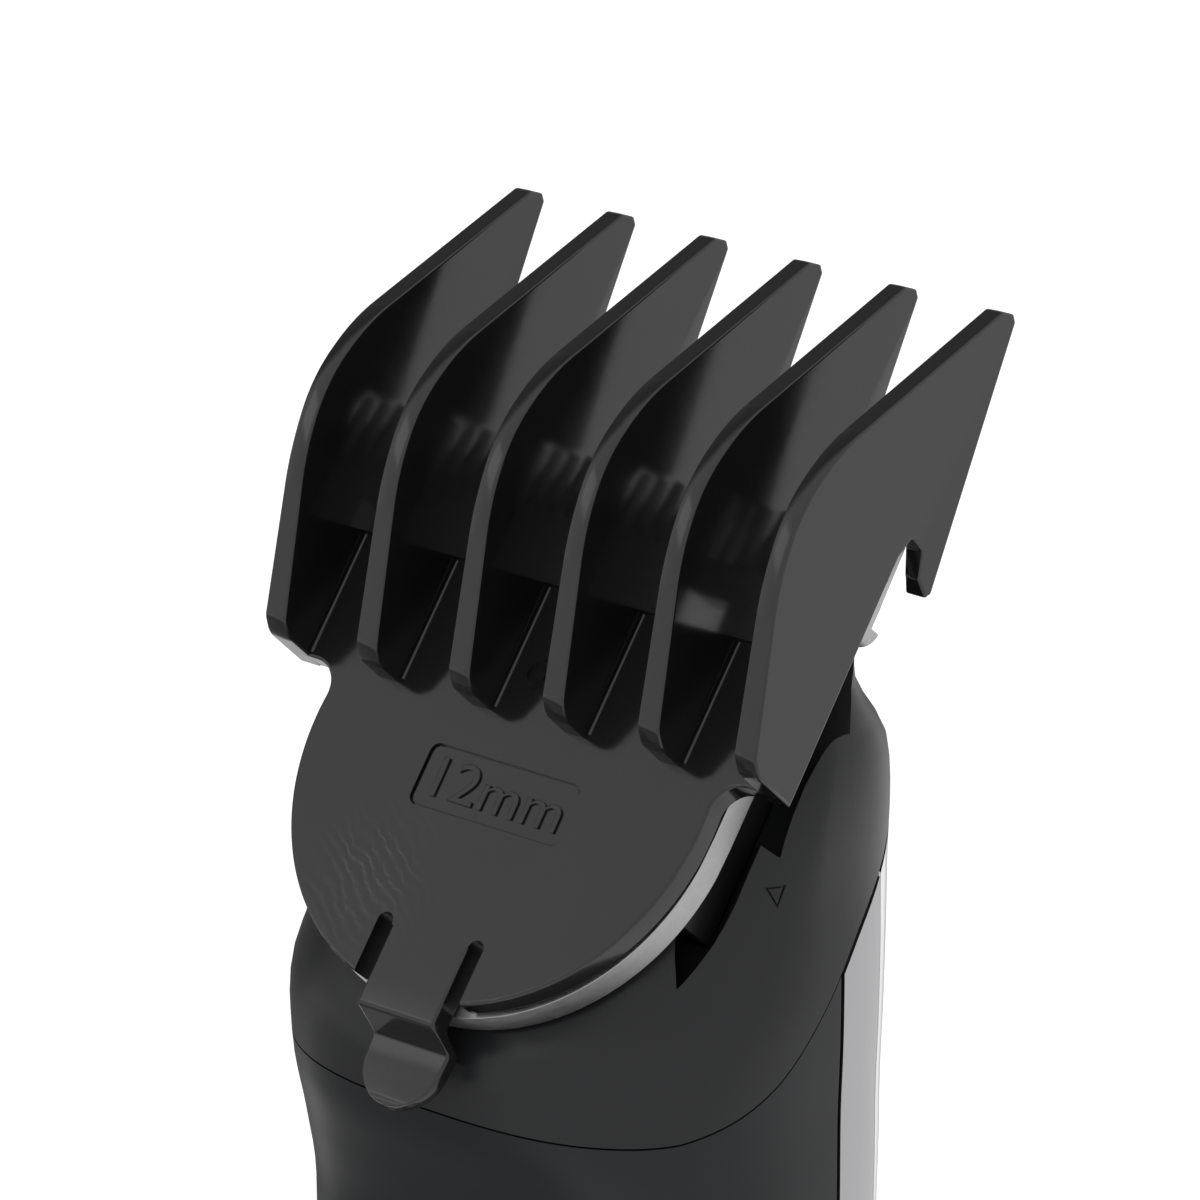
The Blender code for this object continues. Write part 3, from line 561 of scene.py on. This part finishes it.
def make_materials():
    return {
        "comb": comb_gloss(),
        "head": satin("head_satin", (0.009, 0.0095, 0.0105), 0.36, shine=0.27),
        "cover": satin("cover_satin", (0.007, 0.0078, 0.009), 0.34, shine=0.25),
        "button": satin("button_satin", (0.009, 0.009, 0.010), 0.22),
        "steel": brushed("blade_brushed", (0.50, 0.50, 0.50), 0.45, (60, 4000, 4000)),
        "trim": trim_finish(),
        "zinc": brushed("zinc_plate", (0.55, 0.55, 0.56), 0.35, (900, 900, 900)),
        "brass": brushed("contact_brass", (0.75, 0.55, 0.25), 0.3, (1500, 60, 1500)),
        "ceramic": satin("ceramic_white", (0.78, 0.77, 0.73), 0.28),
        "carrier": satin("carrier_black", (0.008, 0.008, 0.009), 0.45),
        "nylon": satin("inner_nylon", (0.28, 0.29, 0.30), 0.5),
        "wrap": satin("battery_wrap", (0.04, 0.18, 0.42), 0.35),
        "board": satin("board_green", (0.02, 0.15, 0.06), 0.4),
        "lens": satin("lens_milky", (0.82, 0.85, 0.88), 0.2),
    }


CAD_FINISH = {
    "moving_blade": "ceramic",
    "blade_carrier": "carrier",
    "blade_spring": "zinc",
    "blade_screw_left": "zinc",
    "blade_screw_right": "zinc",
    "base_cap": "cover",
    "drive_lever": "nylon",
    "lever_pivot_pin": "zinc",
    "eccentric_cam": "nylon",
    "motor_shaft": "zinc",
    "motor_can": "zinc",
    "motor_end_cap": "nylon",
    "motor_mount": "zinc",
    "motor_screw_left": "zinc",
    "motor_screw_right": "zinc",
    "chassis": "nylon",
    "battery": "wrap",
    "battery_contact_base": "brass",
    "battery_contact_top": "brass",
    "motor_contact_left": "brass",
    "motor_contact_right": "brass",
    "circuit_board": "board",
    "power_switch": "nylon",
    "button_flange": "nylon",
    "power_button": "button",
    "light_lens": "lens",
    "charging_socket": "zinc",
    "case_screw_lower": "zinc",
    "case_screw_upper": "zinc",
    "guide_comb": "comb",
    "comb_latch": "comb",
    "fixed_blade": "steel",
    "head_housing": "head",
    "front_cover": "cover",
    "rear_cover": "cover",
    "side_strip_left": "trim",
    "side_strip_right": "trim",
}


def finish_with(obj, made):
    obj.data.materials.clear()
    obj.data.materials.append(made)


def dress_frame(finishes):
    for name, key in CAD_FINISH.items():
        finish_with(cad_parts[name], finishes[key])


def piece(obj, made, slot, body, *nodes):
    """Finishes a new piece, hangs it on the body it rides on and hides the imported parts it replaces; the
    slot is not used.
    """
    finish_with(obj, made)
    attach(obj, body)
    if nodes:
        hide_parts(*nodes)
    return obj


# ---------------------------------------------------------------- guide comb


def plate_outline():
    """The disc, with a fillet on each side up to the straight part that carries the fins."""
    fillet = 2.0
    side = math.degrees(math.asin((SHOULDER_U - fillet - DISC_U) / (DISC_R + fillet)))
    reach = (DISC_R + fillet) * math.cos(math.radians(side))
    right = arc(0.0, DISC_U, DISC_R, -89.0, side, 72)
    right += arc(reach, SHOULDER_U - fillet, fillet, 180.0 + side, 90.0, 10)[1:]
    right += [(COMB_HALF - 0.5, SHOULDER_U), (COMB_HALF - 0.5, PLATE_TOP_U)]
    return both_sides(right)


# u, n and rounding radius of each corner, from the plate over the ridge to the tip
FRONT_OF_FIN = [
    (3.9, -PLATE_THICK + 0.1, 0.0),
    (4.1, 2.6, 2.0),
    (4.9, 3.75, 1.2),
    (15.0, 8.95, 18.0),
    (20.0, 10.1, 10.0),
    (25.0, 8.75, 13.0),
    (39.55, -1.15, 0.5),
    (40.0, -2.45, 0.25),
    (39.65, -3.0, 0.15),
]


def fin_outline(outer):
    """Side view of one fin, u and n; the outer fins hook round the ends of the blade."""
    if outer:
        back = [(21.4, -6.65, 0.25), (20.85, -6.2, 0.25), (21.7, -4.9, 0.6)]
        back += [(23.3, -3.85, 0.3), (23.5, -2.3, 0.2)]
    else:
        back = [(24.4, -6.05, 0.4), (23.6, -4.8, 0.4), (23.5, -2.3, 0.2)]
    return soften([*FRONT_OF_FIN, *back, (22.0, -PLATE_THICK + 0.1, 0.0)], 14)


def thin_back_edge(fin, middle):
    """Bevels both faces of a fin towards its back edge, and thins it towards its tip."""
    bevel, most, bevel_low_z = 0.22, 0.6, 158.0
    thin_low_z, thin_span = 147.0, 16.0
    crease = Vector(to_world(0.0, 39.0, -2.95))
    along = Vector(to_world(0.0, 23.6, -3.65)) - crease
    across = Vector((1.0, 0.0, 0.0))
    normal = along.cross(across).normalized()
    below = Vector(to_world(0.0, 30.0, -6.0)) - crease
    if normal.dot(below) < 0:
        normal = -normal
    bm = bmesh.new()
    bm.from_mesh(fin.data)
    geometry = bm.verts[:] + bm.edges[:] + bm.faces[:]
    bmesh.ops.bisect_plane(bm, geom=geometry, plane_co=crease * MM, plane_no=normal, dist=1e-7)
    for vert in bm.verts:
        depth = normal.dot(vert.co / MM - crease)
        offset = vert.co.x / MM - middle
        height = vert.co.z / MM
        if depth > 0.01 and height > bevel_low_z:
            offset *= 1.0 - min(bevel * depth, most)
        narrow = 1.0 - TIP_THICK / FIN_THICK
        offset *= 1.0 - narrow * min(max((height - thin_low_z) / thin_span, 0.0), 1.0)
        vert.co.x = (middle + offset) * MM
    bm.to_mesh(fin.data)
    bm.free()
    fin.data.set_sharp_from_angle(angle=math.radians(8.0))
    return fin


def make_slot(side):
    """The round-topped slot on one side of the tongue, open at the disc's edge."""
    middle, radius = side * (TONGUE_HALF + SLOT_WIDTH / 2), SLOT_WIDTH / 2
    outline = arc(middle, TONGUE_TOP_U - 0.2, radius, 0.0, 180.0, 16)
    outline += [(middle - radius, PAST_TAB_U), (middle + radius, PAST_TAB_U)]
    return prism("slot", outline, UNDER_COMB, OVER_COMB, flat)


def make_foot(x, side):
    """The hollow corner where one face of a fin meets the plate."""
    radius, deep = 0.3, 0.2
    face = x + side * FIN_THICK / 2
    outline = [(face - side * deep, radius), (face - side * deep, -deep), (face + side * radius, -deep)]
    steps = 5
    for k in range(steps + 1):
        turn = math.radians(270.0 - 90.0 * k / steps)
        outline.append((face + side * radius * (1.0 + math.cos(turn)), radius * (1.0 + math.sin(turn))))
    return prism("foot", outline, SHOULDER_U + 0.35, PLATE_TOP_U - 0.3, lengthwise)


def make_fins():
    """The six fins, and the feet on the sides that face another fin."""
    parts = []
    for i in range(FIN_COUNT):
        x = COMB_PITCH * (i - (FIN_COUNT - 1) / 2)
        outline = fin_outline(i in (0, FIN_COUNT - 1))
        fin = prism(f"fin_{i}", outline, x - FIN_THICK / 2, x + FIN_THICK / 2, sideways, FIN_EDGE)
        parts.append(thin_back_edge(fin, x))
        sides = [side for side in (-1, 1) if 0 < i + (side + 1) / 2 < FIN_COUNT]
        parts += [make_foot(x, side) for side in sides]
    return parts


def make_rim():
    """The groove round the floor of the size mark's recess."""
    width, depth = 0.15, 0.14
    outer = rounded(LABEL_HALF_X, LABEL_HALF_U, LABEL_ROUND, 0.0, LABEL_U)
    inner = rounded(LABEL_HALF_X - width, LABEL_HALF_U - width, LABEL_ROUND - width, 0.0, LABEL_U)
    rim = prism("rim", outer, -RECESS - depth, OVER_COMB, flat)
    return combine(rim, [prism("rim_core", inner, -1.0, 2.0, flat)])


def make_gate():
    """The round mark where the plastic entered the mould, with a stub in its middle."""
    gate = prism("dimple", circle(GATE_X, GATE_U, GATE_R, 32), -GATE_DEPTH, OVER_COMB, flat)
    return combine(gate, [prism("dimple_core", circle(GATE_X, GATE_U, GATE_STUB_R, 32), -1.0, 2.0, flat)])


def make_comb(finishes):
    comb = prism("comb_plate", plate_outline(), -PLATE_THICK, 0.0, flat, PLATE_EDGE)
    combine(comb, make_fins(), "UNION")
    recess_outline = rounded(LABEL_HALF_X, LABEL_HALF_U, LABEL_ROUND, 0.0, LABEL_U)
    recess = prism("recess", recess_outline, -RECESS, OVER_COMB, flat)
    combine(comb, [recess, make_gate(), make_slot(-1), make_slot(1)])
    combine(comb, [make_rim()])
    eased(comb, 0.06, 60.0)
    side = TONGUE_HALF + 0.02
    latch_end = both_sides([(side, PAST_TAB_U), (side, JOIN_U)])
    combine(comb, [prism("stub", latch_end, UNDER_COMB, OVER_COMB, flat)])
    tidy(comb, 30.0)
    return piece(comb, finishes["comb"], "comb_plastic", "comb", "guide_comb")


def make_size_mark(finishes):
    """The comb's cutting length, as thin raised strokes in its recess."""
    height = 0.07
    text = bpy.data.curves.new("size_mark", "FONT")
    text.body = "12mm"
    text.size = 4.0 * MM
    text.align_x, text.align_y = "CENTER", "CENTER"
    text.extrude = height * MM
    text.bevel_depth = 0.045 * MM
    text.bevel_resolution = 2
    text.offset = -0.05 * MM
    made = bpy.data.objects.new("size_mark", text)
    bpy.context.collection.objects.link(made)
    made.location = Vector(to_world(0.0, LABEL_U - 0.1, -RECESS + height)) * MM
    made.rotation_euler = (math.pi / 2 - TILT, 0.0, 0.0)
    made.scale = (1.17, 1.02, 1.0)
    bpy.context.view_layer.update()
    graph = bpy.context.evaluated_depsgraph_get()
    mesh = bpy.data.meshes.new_from_object(made.evaluated_get(graph))
    mesh.transform(made.matrix_world)
    bpy.data.objects.remove(made)
    solid = bpy.data.objects.new("size_mark_strokes", mesh)
    bpy.context.collection.objects.link(solid)
    return piece(solid, finishes["comb"], "comb_plastic", "comb")


# side view of the tongue, u and n: matching points on its upper and lower faces
TONGUE_UPPER = [(JOIN_U, 0.0), (-13.0, 0.0), (-15.0, 0.0), (-17.0, 0.0), (-17.25, -0.05), (-17.4, -0.18)]
TONGUE_UPPER += [(-17.47, -0.35), (-17.9, -1.7), (-18.25, -2.75), (-18.36, -2.92), (-18.6, -3.0)]
TONGUE_LOWER = [(JOIN_U, -PLATE_THICK), (-13.0, -1.83), (-15.0, -1.8), (-16.5, -1.75), (-16.8, -1.8)]
TONGUE_LOWER += [(-17.1, -1.95), (-17.3, -2.2), (-17.6, -3.0), (-17.85, -3.8), (-18.2, -4.1), (-18.7, -4.15)]
TAB_U, TAB_R, TAB_TOP, TAB_LOW = -19.5, 3.2, -3.0, -4.15


def make_tongue(finishes):
    """The springy tongue: rounded sections along its bent side view, ending in a round tab."""
    stations = [(a, b, TONGUE_HALF) for a, b in zip(TONGUE_UPPER, TONGUE_LOWER)]
    steps = 20
    for k in range(1, steps + 1):
        turn = math.radians(89.0 * k / steps)
        u = TAB_U - TAB_R * math.sin(turn)
        stations.append(((u, TAB_TOP), (u, TAB_LOW), TAB_R * math.cos(turn)))
    loops = []
    for upper, lower, half in stations:
        top, low = Vector(upper), Vector(lower)
        middle, thick = (top + low) / 2, (top - low).length
        along = (top - low).normalized()
        edge = min(PLATE_EDGE, 0.45 * thick, 0.9 * half)
        loop = []
        for x, height in rounded(half, thick / 2, edge, steps=3):
            u, n = middle + along * height
            loop.append(to_world(x, u, n))
        loops.append(loop)
    tongue = tidy(rings("comb_tongue", loops, 30.0), 30.0)
    finish_with(tongue, finishes["comb"])
    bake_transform(tongue)
    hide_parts("comb_latch")
    return tongue


# ---------------------------------------------------------------- blade


def toothed_edge():
    """The row of teeth, from right to left: each one tapers to a round tip."""
    count = int((2 * BAR_HALF - TOOTH_WIDTH) / TOOTH_PITCH) + 1
    first = TOOTH_PITCH * (count - 1) / 2
    taper, flare, rise, tip = 0.13, 0.08, 0.2, TOOTH_TIP_U - 0.25
    foot = TOOTH_WIDTH / 2
    end = foot - taper
    points = []
    for i in range(count):
        x = first - i * TOOTH_PITCH
        points += [(x + foot + flare, TOOTH_ROOT_U), (x + foot, TOOTH_ROOT_U + rise), (x + end, tip)]
        points += arc(x, tip, end, 20, 160, 4)
        points += [(x - end, tip), (x - foot, TOOTH_ROOT_U + rise), (x - foot - flare, TOOTH_ROOT_U)]
    points[0] = (BAR_HALF, TOOTH_ROOT_U)
    points[-1] = (-BAR_HALF, TOOTH_ROOT_U)
    return points


def make_blade(finishes):
    """The fixed steel blade: a round heel, a wide bar and a toothed edge ground to a slope."""
    corner = 1.2
    heel = arc(0.0, 0.0, HEEL_R, -90.0, -5.0, 60)
    right = heel[1:] + [(HEEL_R, 0.5), (HEEL_R, BAR_LOW_U), (BAR_HALF - corner, BAR_LOW_U)]
    right += arc(BAR_HALF - corner, BAR_LOW_U + corner, corner, -80, 0, 8)
    outline = [heel[0]] + right + toothed_edge() + [(-x, u) for x, u in reversed(right)]
    blade = prism("blade_plate", outline, STEEL_BOTTOM, STEEL_TOP, flat, 0.05, 2)
    under_teeth = [(-30, RELIEF_U), (30, RELIEF_U), (30, 30), (-30, 30)]
    relief = prism("relief", under_teeth, -6.0, TEETH_BOTTOM, flat)
    slope = [(GRIND_U, STEEL_TOP + 0.15), (GRIND_U, 1.0), (24.5, 1.0), (24.5, STEEL_TOP - 0.75)]
    cutters = [relief, prism("grind", slope, -30, 30, sideways)]
    for side in (-1, 1):
        x = side * BLADE_SCREW_X
        sink_low = STEEL_TOP - BLADE_SINK
        cutters.append(prism("hole", circle(x, BLADE_SCREW_U, BLADE_HOLE_R, 24), -6.0, 0.0, flat))
        cutters.append(prism("sink", circle(x, BLADE_SCREW_U, BLADE_SINK_R, 32), sink_low, 0.0, flat))
    combine(blade, cutters)
    tidy(blade, 30.0)
    return piece(blade, finishes["steel"], "blade_steel", "grip", "fixed_blade")


# ---------------------------------------------------------------- shells


def plane_y(z, n):
    """Where the plane at level n of the blade's frame is at a height."""
    return PLANE_Y + ((z - PLANE_Z) * math.sin(TILT) - n) / math.cos(TILT)


def between(points, at):
    """The value at a place on a line through points, level beyond both ends."""
    for (a0, b0), (a1, b1) in zip(points, points[1:]):
        if a0 <= at <= a1:
            return b0 + (b1 - b0) * (at - a0) / (a1 - a0)
    return points[0][1] if at < points[0][0] else points[-1][1]


def smooth_rows():
    """The body's rows with more between them, on a Catmull-Rom curve through the table."""
    rows = []
    for z, width, front, back, middle in BODY:
        level = plane_y(z, FACE_N) if z > FACE_LOW_Z else front
        rows.append((z, width, level - between(FACE_BULGE, z), back, middle))
    result = []
    for i in range(len(rows) - 1):
        p0, p1, p2, p3 = rows[max(i - 1, 0)], rows[i], rows[i + 1], rows[min(i + 2, len(rows) - 1)]
        span = p2[0] - p1[0]
        step = ROW_STEP if p1[0] >= 100 else 8.0 * ROW_STEP
        parts = max(1, round(span / step))
        for k in range(parts):
            t = k / parts
            row = [p1[0] + span * t]
            for c in range(1, 5):
                m1 = (p2[c] - p0[c]) / max(p2[0] - p0[0], 1e-6) * span
                m2 = (p3[c] - p1[c]) / max(p3[0] - p1[0], 1e-6) * span
                h1, h2 = 2 * t**3 - 3 * t**2 + 1, t**3 - 2 * t**2 + t
                h3, h4 = -2 * t**3 + 3 * t**2, t**3 - t**2
                row.append(h1 * p1[c] + h2 * m1 + h3 * p2[c] + h4 * m2)
            result.append(tuple(row))
    result.append(rows[-1])
    return result


def body_ring(z, width, front, back, middle, wall):
    """Two half superellipses, the front one pressed back to the wall with an eased edge."""
    ring = []
    share = between(FACE_BULGE, z) / FACE_BULGE[2][1]
    front_power = FRONT_POWER + (FACE_POWER - FRONT_POWER) * share
    for i in range(BODY_SIDES):
        turn = 2 * math.pi * (i + 0.5) / BODY_SIDES
        c, s = math.cos(turn), math.sin(turn)
        depth, power = (back - middle, BACK_POWER) if s > 0 else (middle - front, front_power)
        x = width * math.copysign(abs(c) ** (2 / power), c)
        y = middle + depth * math.copysign(abs(s) ** (2 / power), s)
        if share > 0:
            y = wall + (y - wall + math.hypot(y - wall, FACE_EASE * share)) / 2
        ring.append((x, y, z))
    return ring


def body_solid(name, shrink):
    """The body's outer shape, or a smaller one inside it."""
    loops = []
    for z, width, front, back, middle in smooth_rows():
        if back - front > 4 * shrink:
            wall = plane_y(z, FACE_N) + shrink
            loops.append(body_ring(z, width - shrink, front + shrink, back - shrink, middle, wall))
    return rings(name, loops)


def seam_curve(shift):
    """The seam with its corners eased, as points from front to back."""
    curve = []
    for i in range(len(SEAM) - 1):
        p0, p1 = SEAM[max(i - 1, 0)], SEAM[i]
        p2, p3 = SEAM[i + 1], SEAM[min(i + 2, len(SEAM) - 1)]
        for k in range(4):
            t = k / 4
            spot = []
            for c in (0, 1):
                a, b = 2 * p1[c], p2[c] - p0[c]
                d = 2 * p0[c] - 5 * p1[c] + 4 * p2[c] - p3[c]
                e = -p0[c] + 3 * p1[c] - 3 * p2[c] + p3[c]
                spot.append(0.5 * (a + b * t + d * t * t + e * t**3))
            curve.append((spot[0], spot[1] + shift))
    curve.append((SEAM[-1][0], SEAM[-1][1] + shift))
    return curve


def under_seam(shift, low, front, back):
    """Side view of what lies between a low level and the seam, which is first moved up by the shift."""
    curve = seam_curve(shift)
    inside = [(y, z) for y, z in curve if front < y < back]
    ends = [(back, low), (back, between(curve, back))]
    return [(front, low), *ends, *reversed(inside), (front, between(curve, front))]


def make_scoop(side):
    """A groove beside the heel of the blade: deep at its outer wall, and fading to a point."""
    # u, then x and n of the floor's inner edge and of its outer edge
    sections = [
        (2.1, 12.0, POCKET_FLOOR, 17.22, POCKET_FLOOR),
        (-0.8, 12.2, POCKET_FLOOR, 16.87, POCKET_FLOOR),
        (-2.1, 12.4, POCKET_FLOOR, 16.72, POCKET_FLOOR),
        (-3.5, 12.8, POCKET_FLOOR, 16.5, POCKET_FLOOR),
        (-5.3, 14.0, -7.8, 16.17, POCKET_FLOOR),
        (-6.95, 14.5, -7.6, 15.76, POCKET_FLOOR),
        (-8.0, 14.9, -7.3, 15.44, -7.7),
        (-8.7, 15.12, -6.8, 15.2, -7.0),
    ]
    loops = []
    over = 3.0
    for u, near_x, near_n, far_x, far_n in sections:
        corners = [(near_x, over), (far_x, over), (far_x, far_n), (near_x, near_n)]
        loops.append([to_world(side * x, u, n) for x, n in corners])
    return rings("scoop", loops)


def make_arrow(side):
    """A shallow outline of a triangle that points down, cut in the side of the head."""
    middle_y, top_z, half, drop, stroke, depth = -4.13, 140.12, 0.66, 1.5, 0.196, 0.16
    outer = [(middle_y - half, top_z), (middle_y + half, top_z), (middle_y, top_z - drop)]
    inner = inset(outer, stroke)
    arrow = prism("arrow", outer, 0.0, side * FAR, profile_yz)
    combine(arrow, [prism("arrow_core", inner, -side * 1.0, side * (FAR + 1.0), profile_yz)])
    return combine(arrow, [body_solid("arrow_floor", depth)])


def make_hollow():
    """The room inside the head, which leaves a thicker wall behind the flat face."""
    inner, low, back = FACE_N - FACE_WALL, 90.0, 90.0
    front = [(plane_y(BODY_TOP_Z, inner), BODY_TOP_Z), (plane_y(low, inner), low)]
    room = prism("room", [*front, (back, low), (back, BODY_TOP_Z)], -FAR, FAR, profile_yz)
    return combine(body_solid("hollow", WALL), [room], "INTERSECT")


def make_head(finishes):
    """The head: the body above the seam, with openings for the blades and a pocket round the heel."""
    over = 5.0
    head = body_solid("head_shell", 0.0)
    above_seam = [*seam_curve(0.0), (34.0, BODY_TOP_Z), (-24.0, BODY_TOP_Z)]
    combine(head, [prism("region", above_seam, -FAR, FAR, profile_yz)], "INTERSECT")
    hollow = make_hollow()
    opening = prism("opening", both_sides([(15.1, -5.3), (15.1, 16.5)]), -8.7, over, flat)
    mover = prism("mover", both_sides([(25.0, 9.4), (25.0, 30.0)]), MOVER_BOTTOM - 0.35, over, flat)
    right = [(12.0, -1.0, 0), (16.0, -1.0, 0), (17.15, 1.85, 0), (18.28, 1.63, 0.1)]
    right += [(18.33, 5.2, 1.0), (18.4, 30.0, 0)]
    left = [(-x, u, r) for x, u, r in reversed(right)]
    pocket = prism("pocket", soften(right + left), POCKET_FLOOR, over, flat)
    cuts = [hollow, opening, mover, pocket, *(make_scoop(side) for side in (-1, 1))]
    for cut in cuts:
        combine(head, [cut])
    for side in (-1, 1):
        combine(head, [make_arrow(side)])
    tidy(head, 30.0)
    return piece(head, finishes["head"], "head_plastic", "grip", "head_housing")


def make_cover(name, front, back):
    """One half of the grip's shell, below the seam and between two depths."""
    shell = body_solid(name, 0.0)
    outline = under_seam(-SEAM_GAP, BASE_HEIGHT + SEAM_GAP, front, back)
    combine(shell, [prism("region", outline, -FAR, FAR, profile_yz)], "INTERSECT")
    return combine(shell, [body_solid("hollow", WALL)])


def make_covers(finishes):
    front = make_cover("front_shell", -COVER_FAR, SPLIT_Y - SEAM_GAP / 2)
    outside_y, inside_y = -30, -5
    button = prism("button_hole", rounded(*BUTTON_HOLE, 0.0, BUTTON_Z), outside_y, inside_y, front_xz)
    light = prism("light_hole", rounded(*LIGHT_HOLE, 0.0, LIGHT_Z), outside_y, inside_y, front_xz)
    combine(front, [button, light])
    piece(tidy(front), finishes["cover"], "cover_plastic", "grip", "front_cover")
    rear = make_cover("rear_shell", SPLIT_Y + SEAM_GAP / 2, COVER_FAR)
    outline = under_seam(5.0, STRIP_LOW_Z - GAP, -5.0, STRIP_BACK_Y + GAP)
    recess = prism("recess", outline, -FAR, FAR, profile_yz)
    combine(recess, [body_solid("floor", STRIP_THICK + GAP - 0.05)])
    combine(rear, [recess])
    thread_y, behind_y = 11.0, 30.0
    for z in CASE_SCREW_ZS:
        combine(rear, [prism("thread", circle(0.0, z, THREAD_R, 24), thread_y, behind_y, front_xz)])
        combine(rear, [prism("sink", circle(0.0, z, SCREW_SINK_R, 32), SCREW_SINK_Y, behind_y, front_xz)])
    piece(tidy(rear), finishes["cover"], "cover_plastic", "grip", "rear_cover")


def make_base(finishes):
    """The base cap: its outer part, a plug that enters the covers, a room and the charging port."""
    floor_z, plug_low, plug_top = 3.0, 4.0, 10.0
    cap = body_solid("base_shell", 0.0)
    square = rounded(FAR, FAR, 1.0)
    combine(cap, [prism("region", square, -1.0, BASE_HEIGHT, upright_xy)], "INTERSECT")
    plug = body_solid("plug", WALL + GAP)
    combine(plug, [prism("plug_region", square, plug_low, plug_top, upright_xy)], "INTERSECT")
    combine(cap, [plug], "UNION")
    combine(cap, [prism("room", rounded(*ROOM), floor_z, 15.0, upright_xy)])
    combine(cap, [prism("port", rounded(*PORT, 0.0, PORT_Y), -2.0, 8.0, upright_xy)])
    piece(tidy(cap), finishes["cover"], "cover_plastic", "grip", "base_cap")


def make_strip(name, side, finishes, node):
    """The trim on one side, with a groove line that parts its satin front from its polished back."""
    low, high = sorted((side * STRIP_INNER_X, side * FAR))
    strip = body_solid(name, 0.0)
    outline = under_seam(-2 * GAP, STRIP_LOW_Z, SPLIT_Y + GAP, STRIP_BACK_Y)
    combine(strip, [prism("region", outline, low, high, profile_yz)], "INTERSECT")
    combine(strip, [body_solid("floor", STRIP_THICK)])
    groove = prism("line", under_seam(9.0, 0.0, GROOVE_FRONT_Y, GROOVE_BACK_Y), low, high, profile_yz)
    combine(groove, [body_solid("line_floor", GROOVE_DEPTH)])
    combine(strip, [groove])
    eased(strip, 0.16)
    return piece(tidy(strip), finishes["trim"], "trim_metal", "grip", node)


# ---------------------------------------------------------------- assembly

finishes = make_materials()
dress_frame(finishes)
camera()
studio()
make_comb(finishes)
make_size_mark(finishes)
make_tongue(finishes)
make_blade(finishes)
make_head(finishes)
make_covers(finishes)
make_base(finishes)
make_strip("strip_left", -1, finishes, "side_strip_left")
make_strip("strip_right", 1, finishes, "side_strip_right")
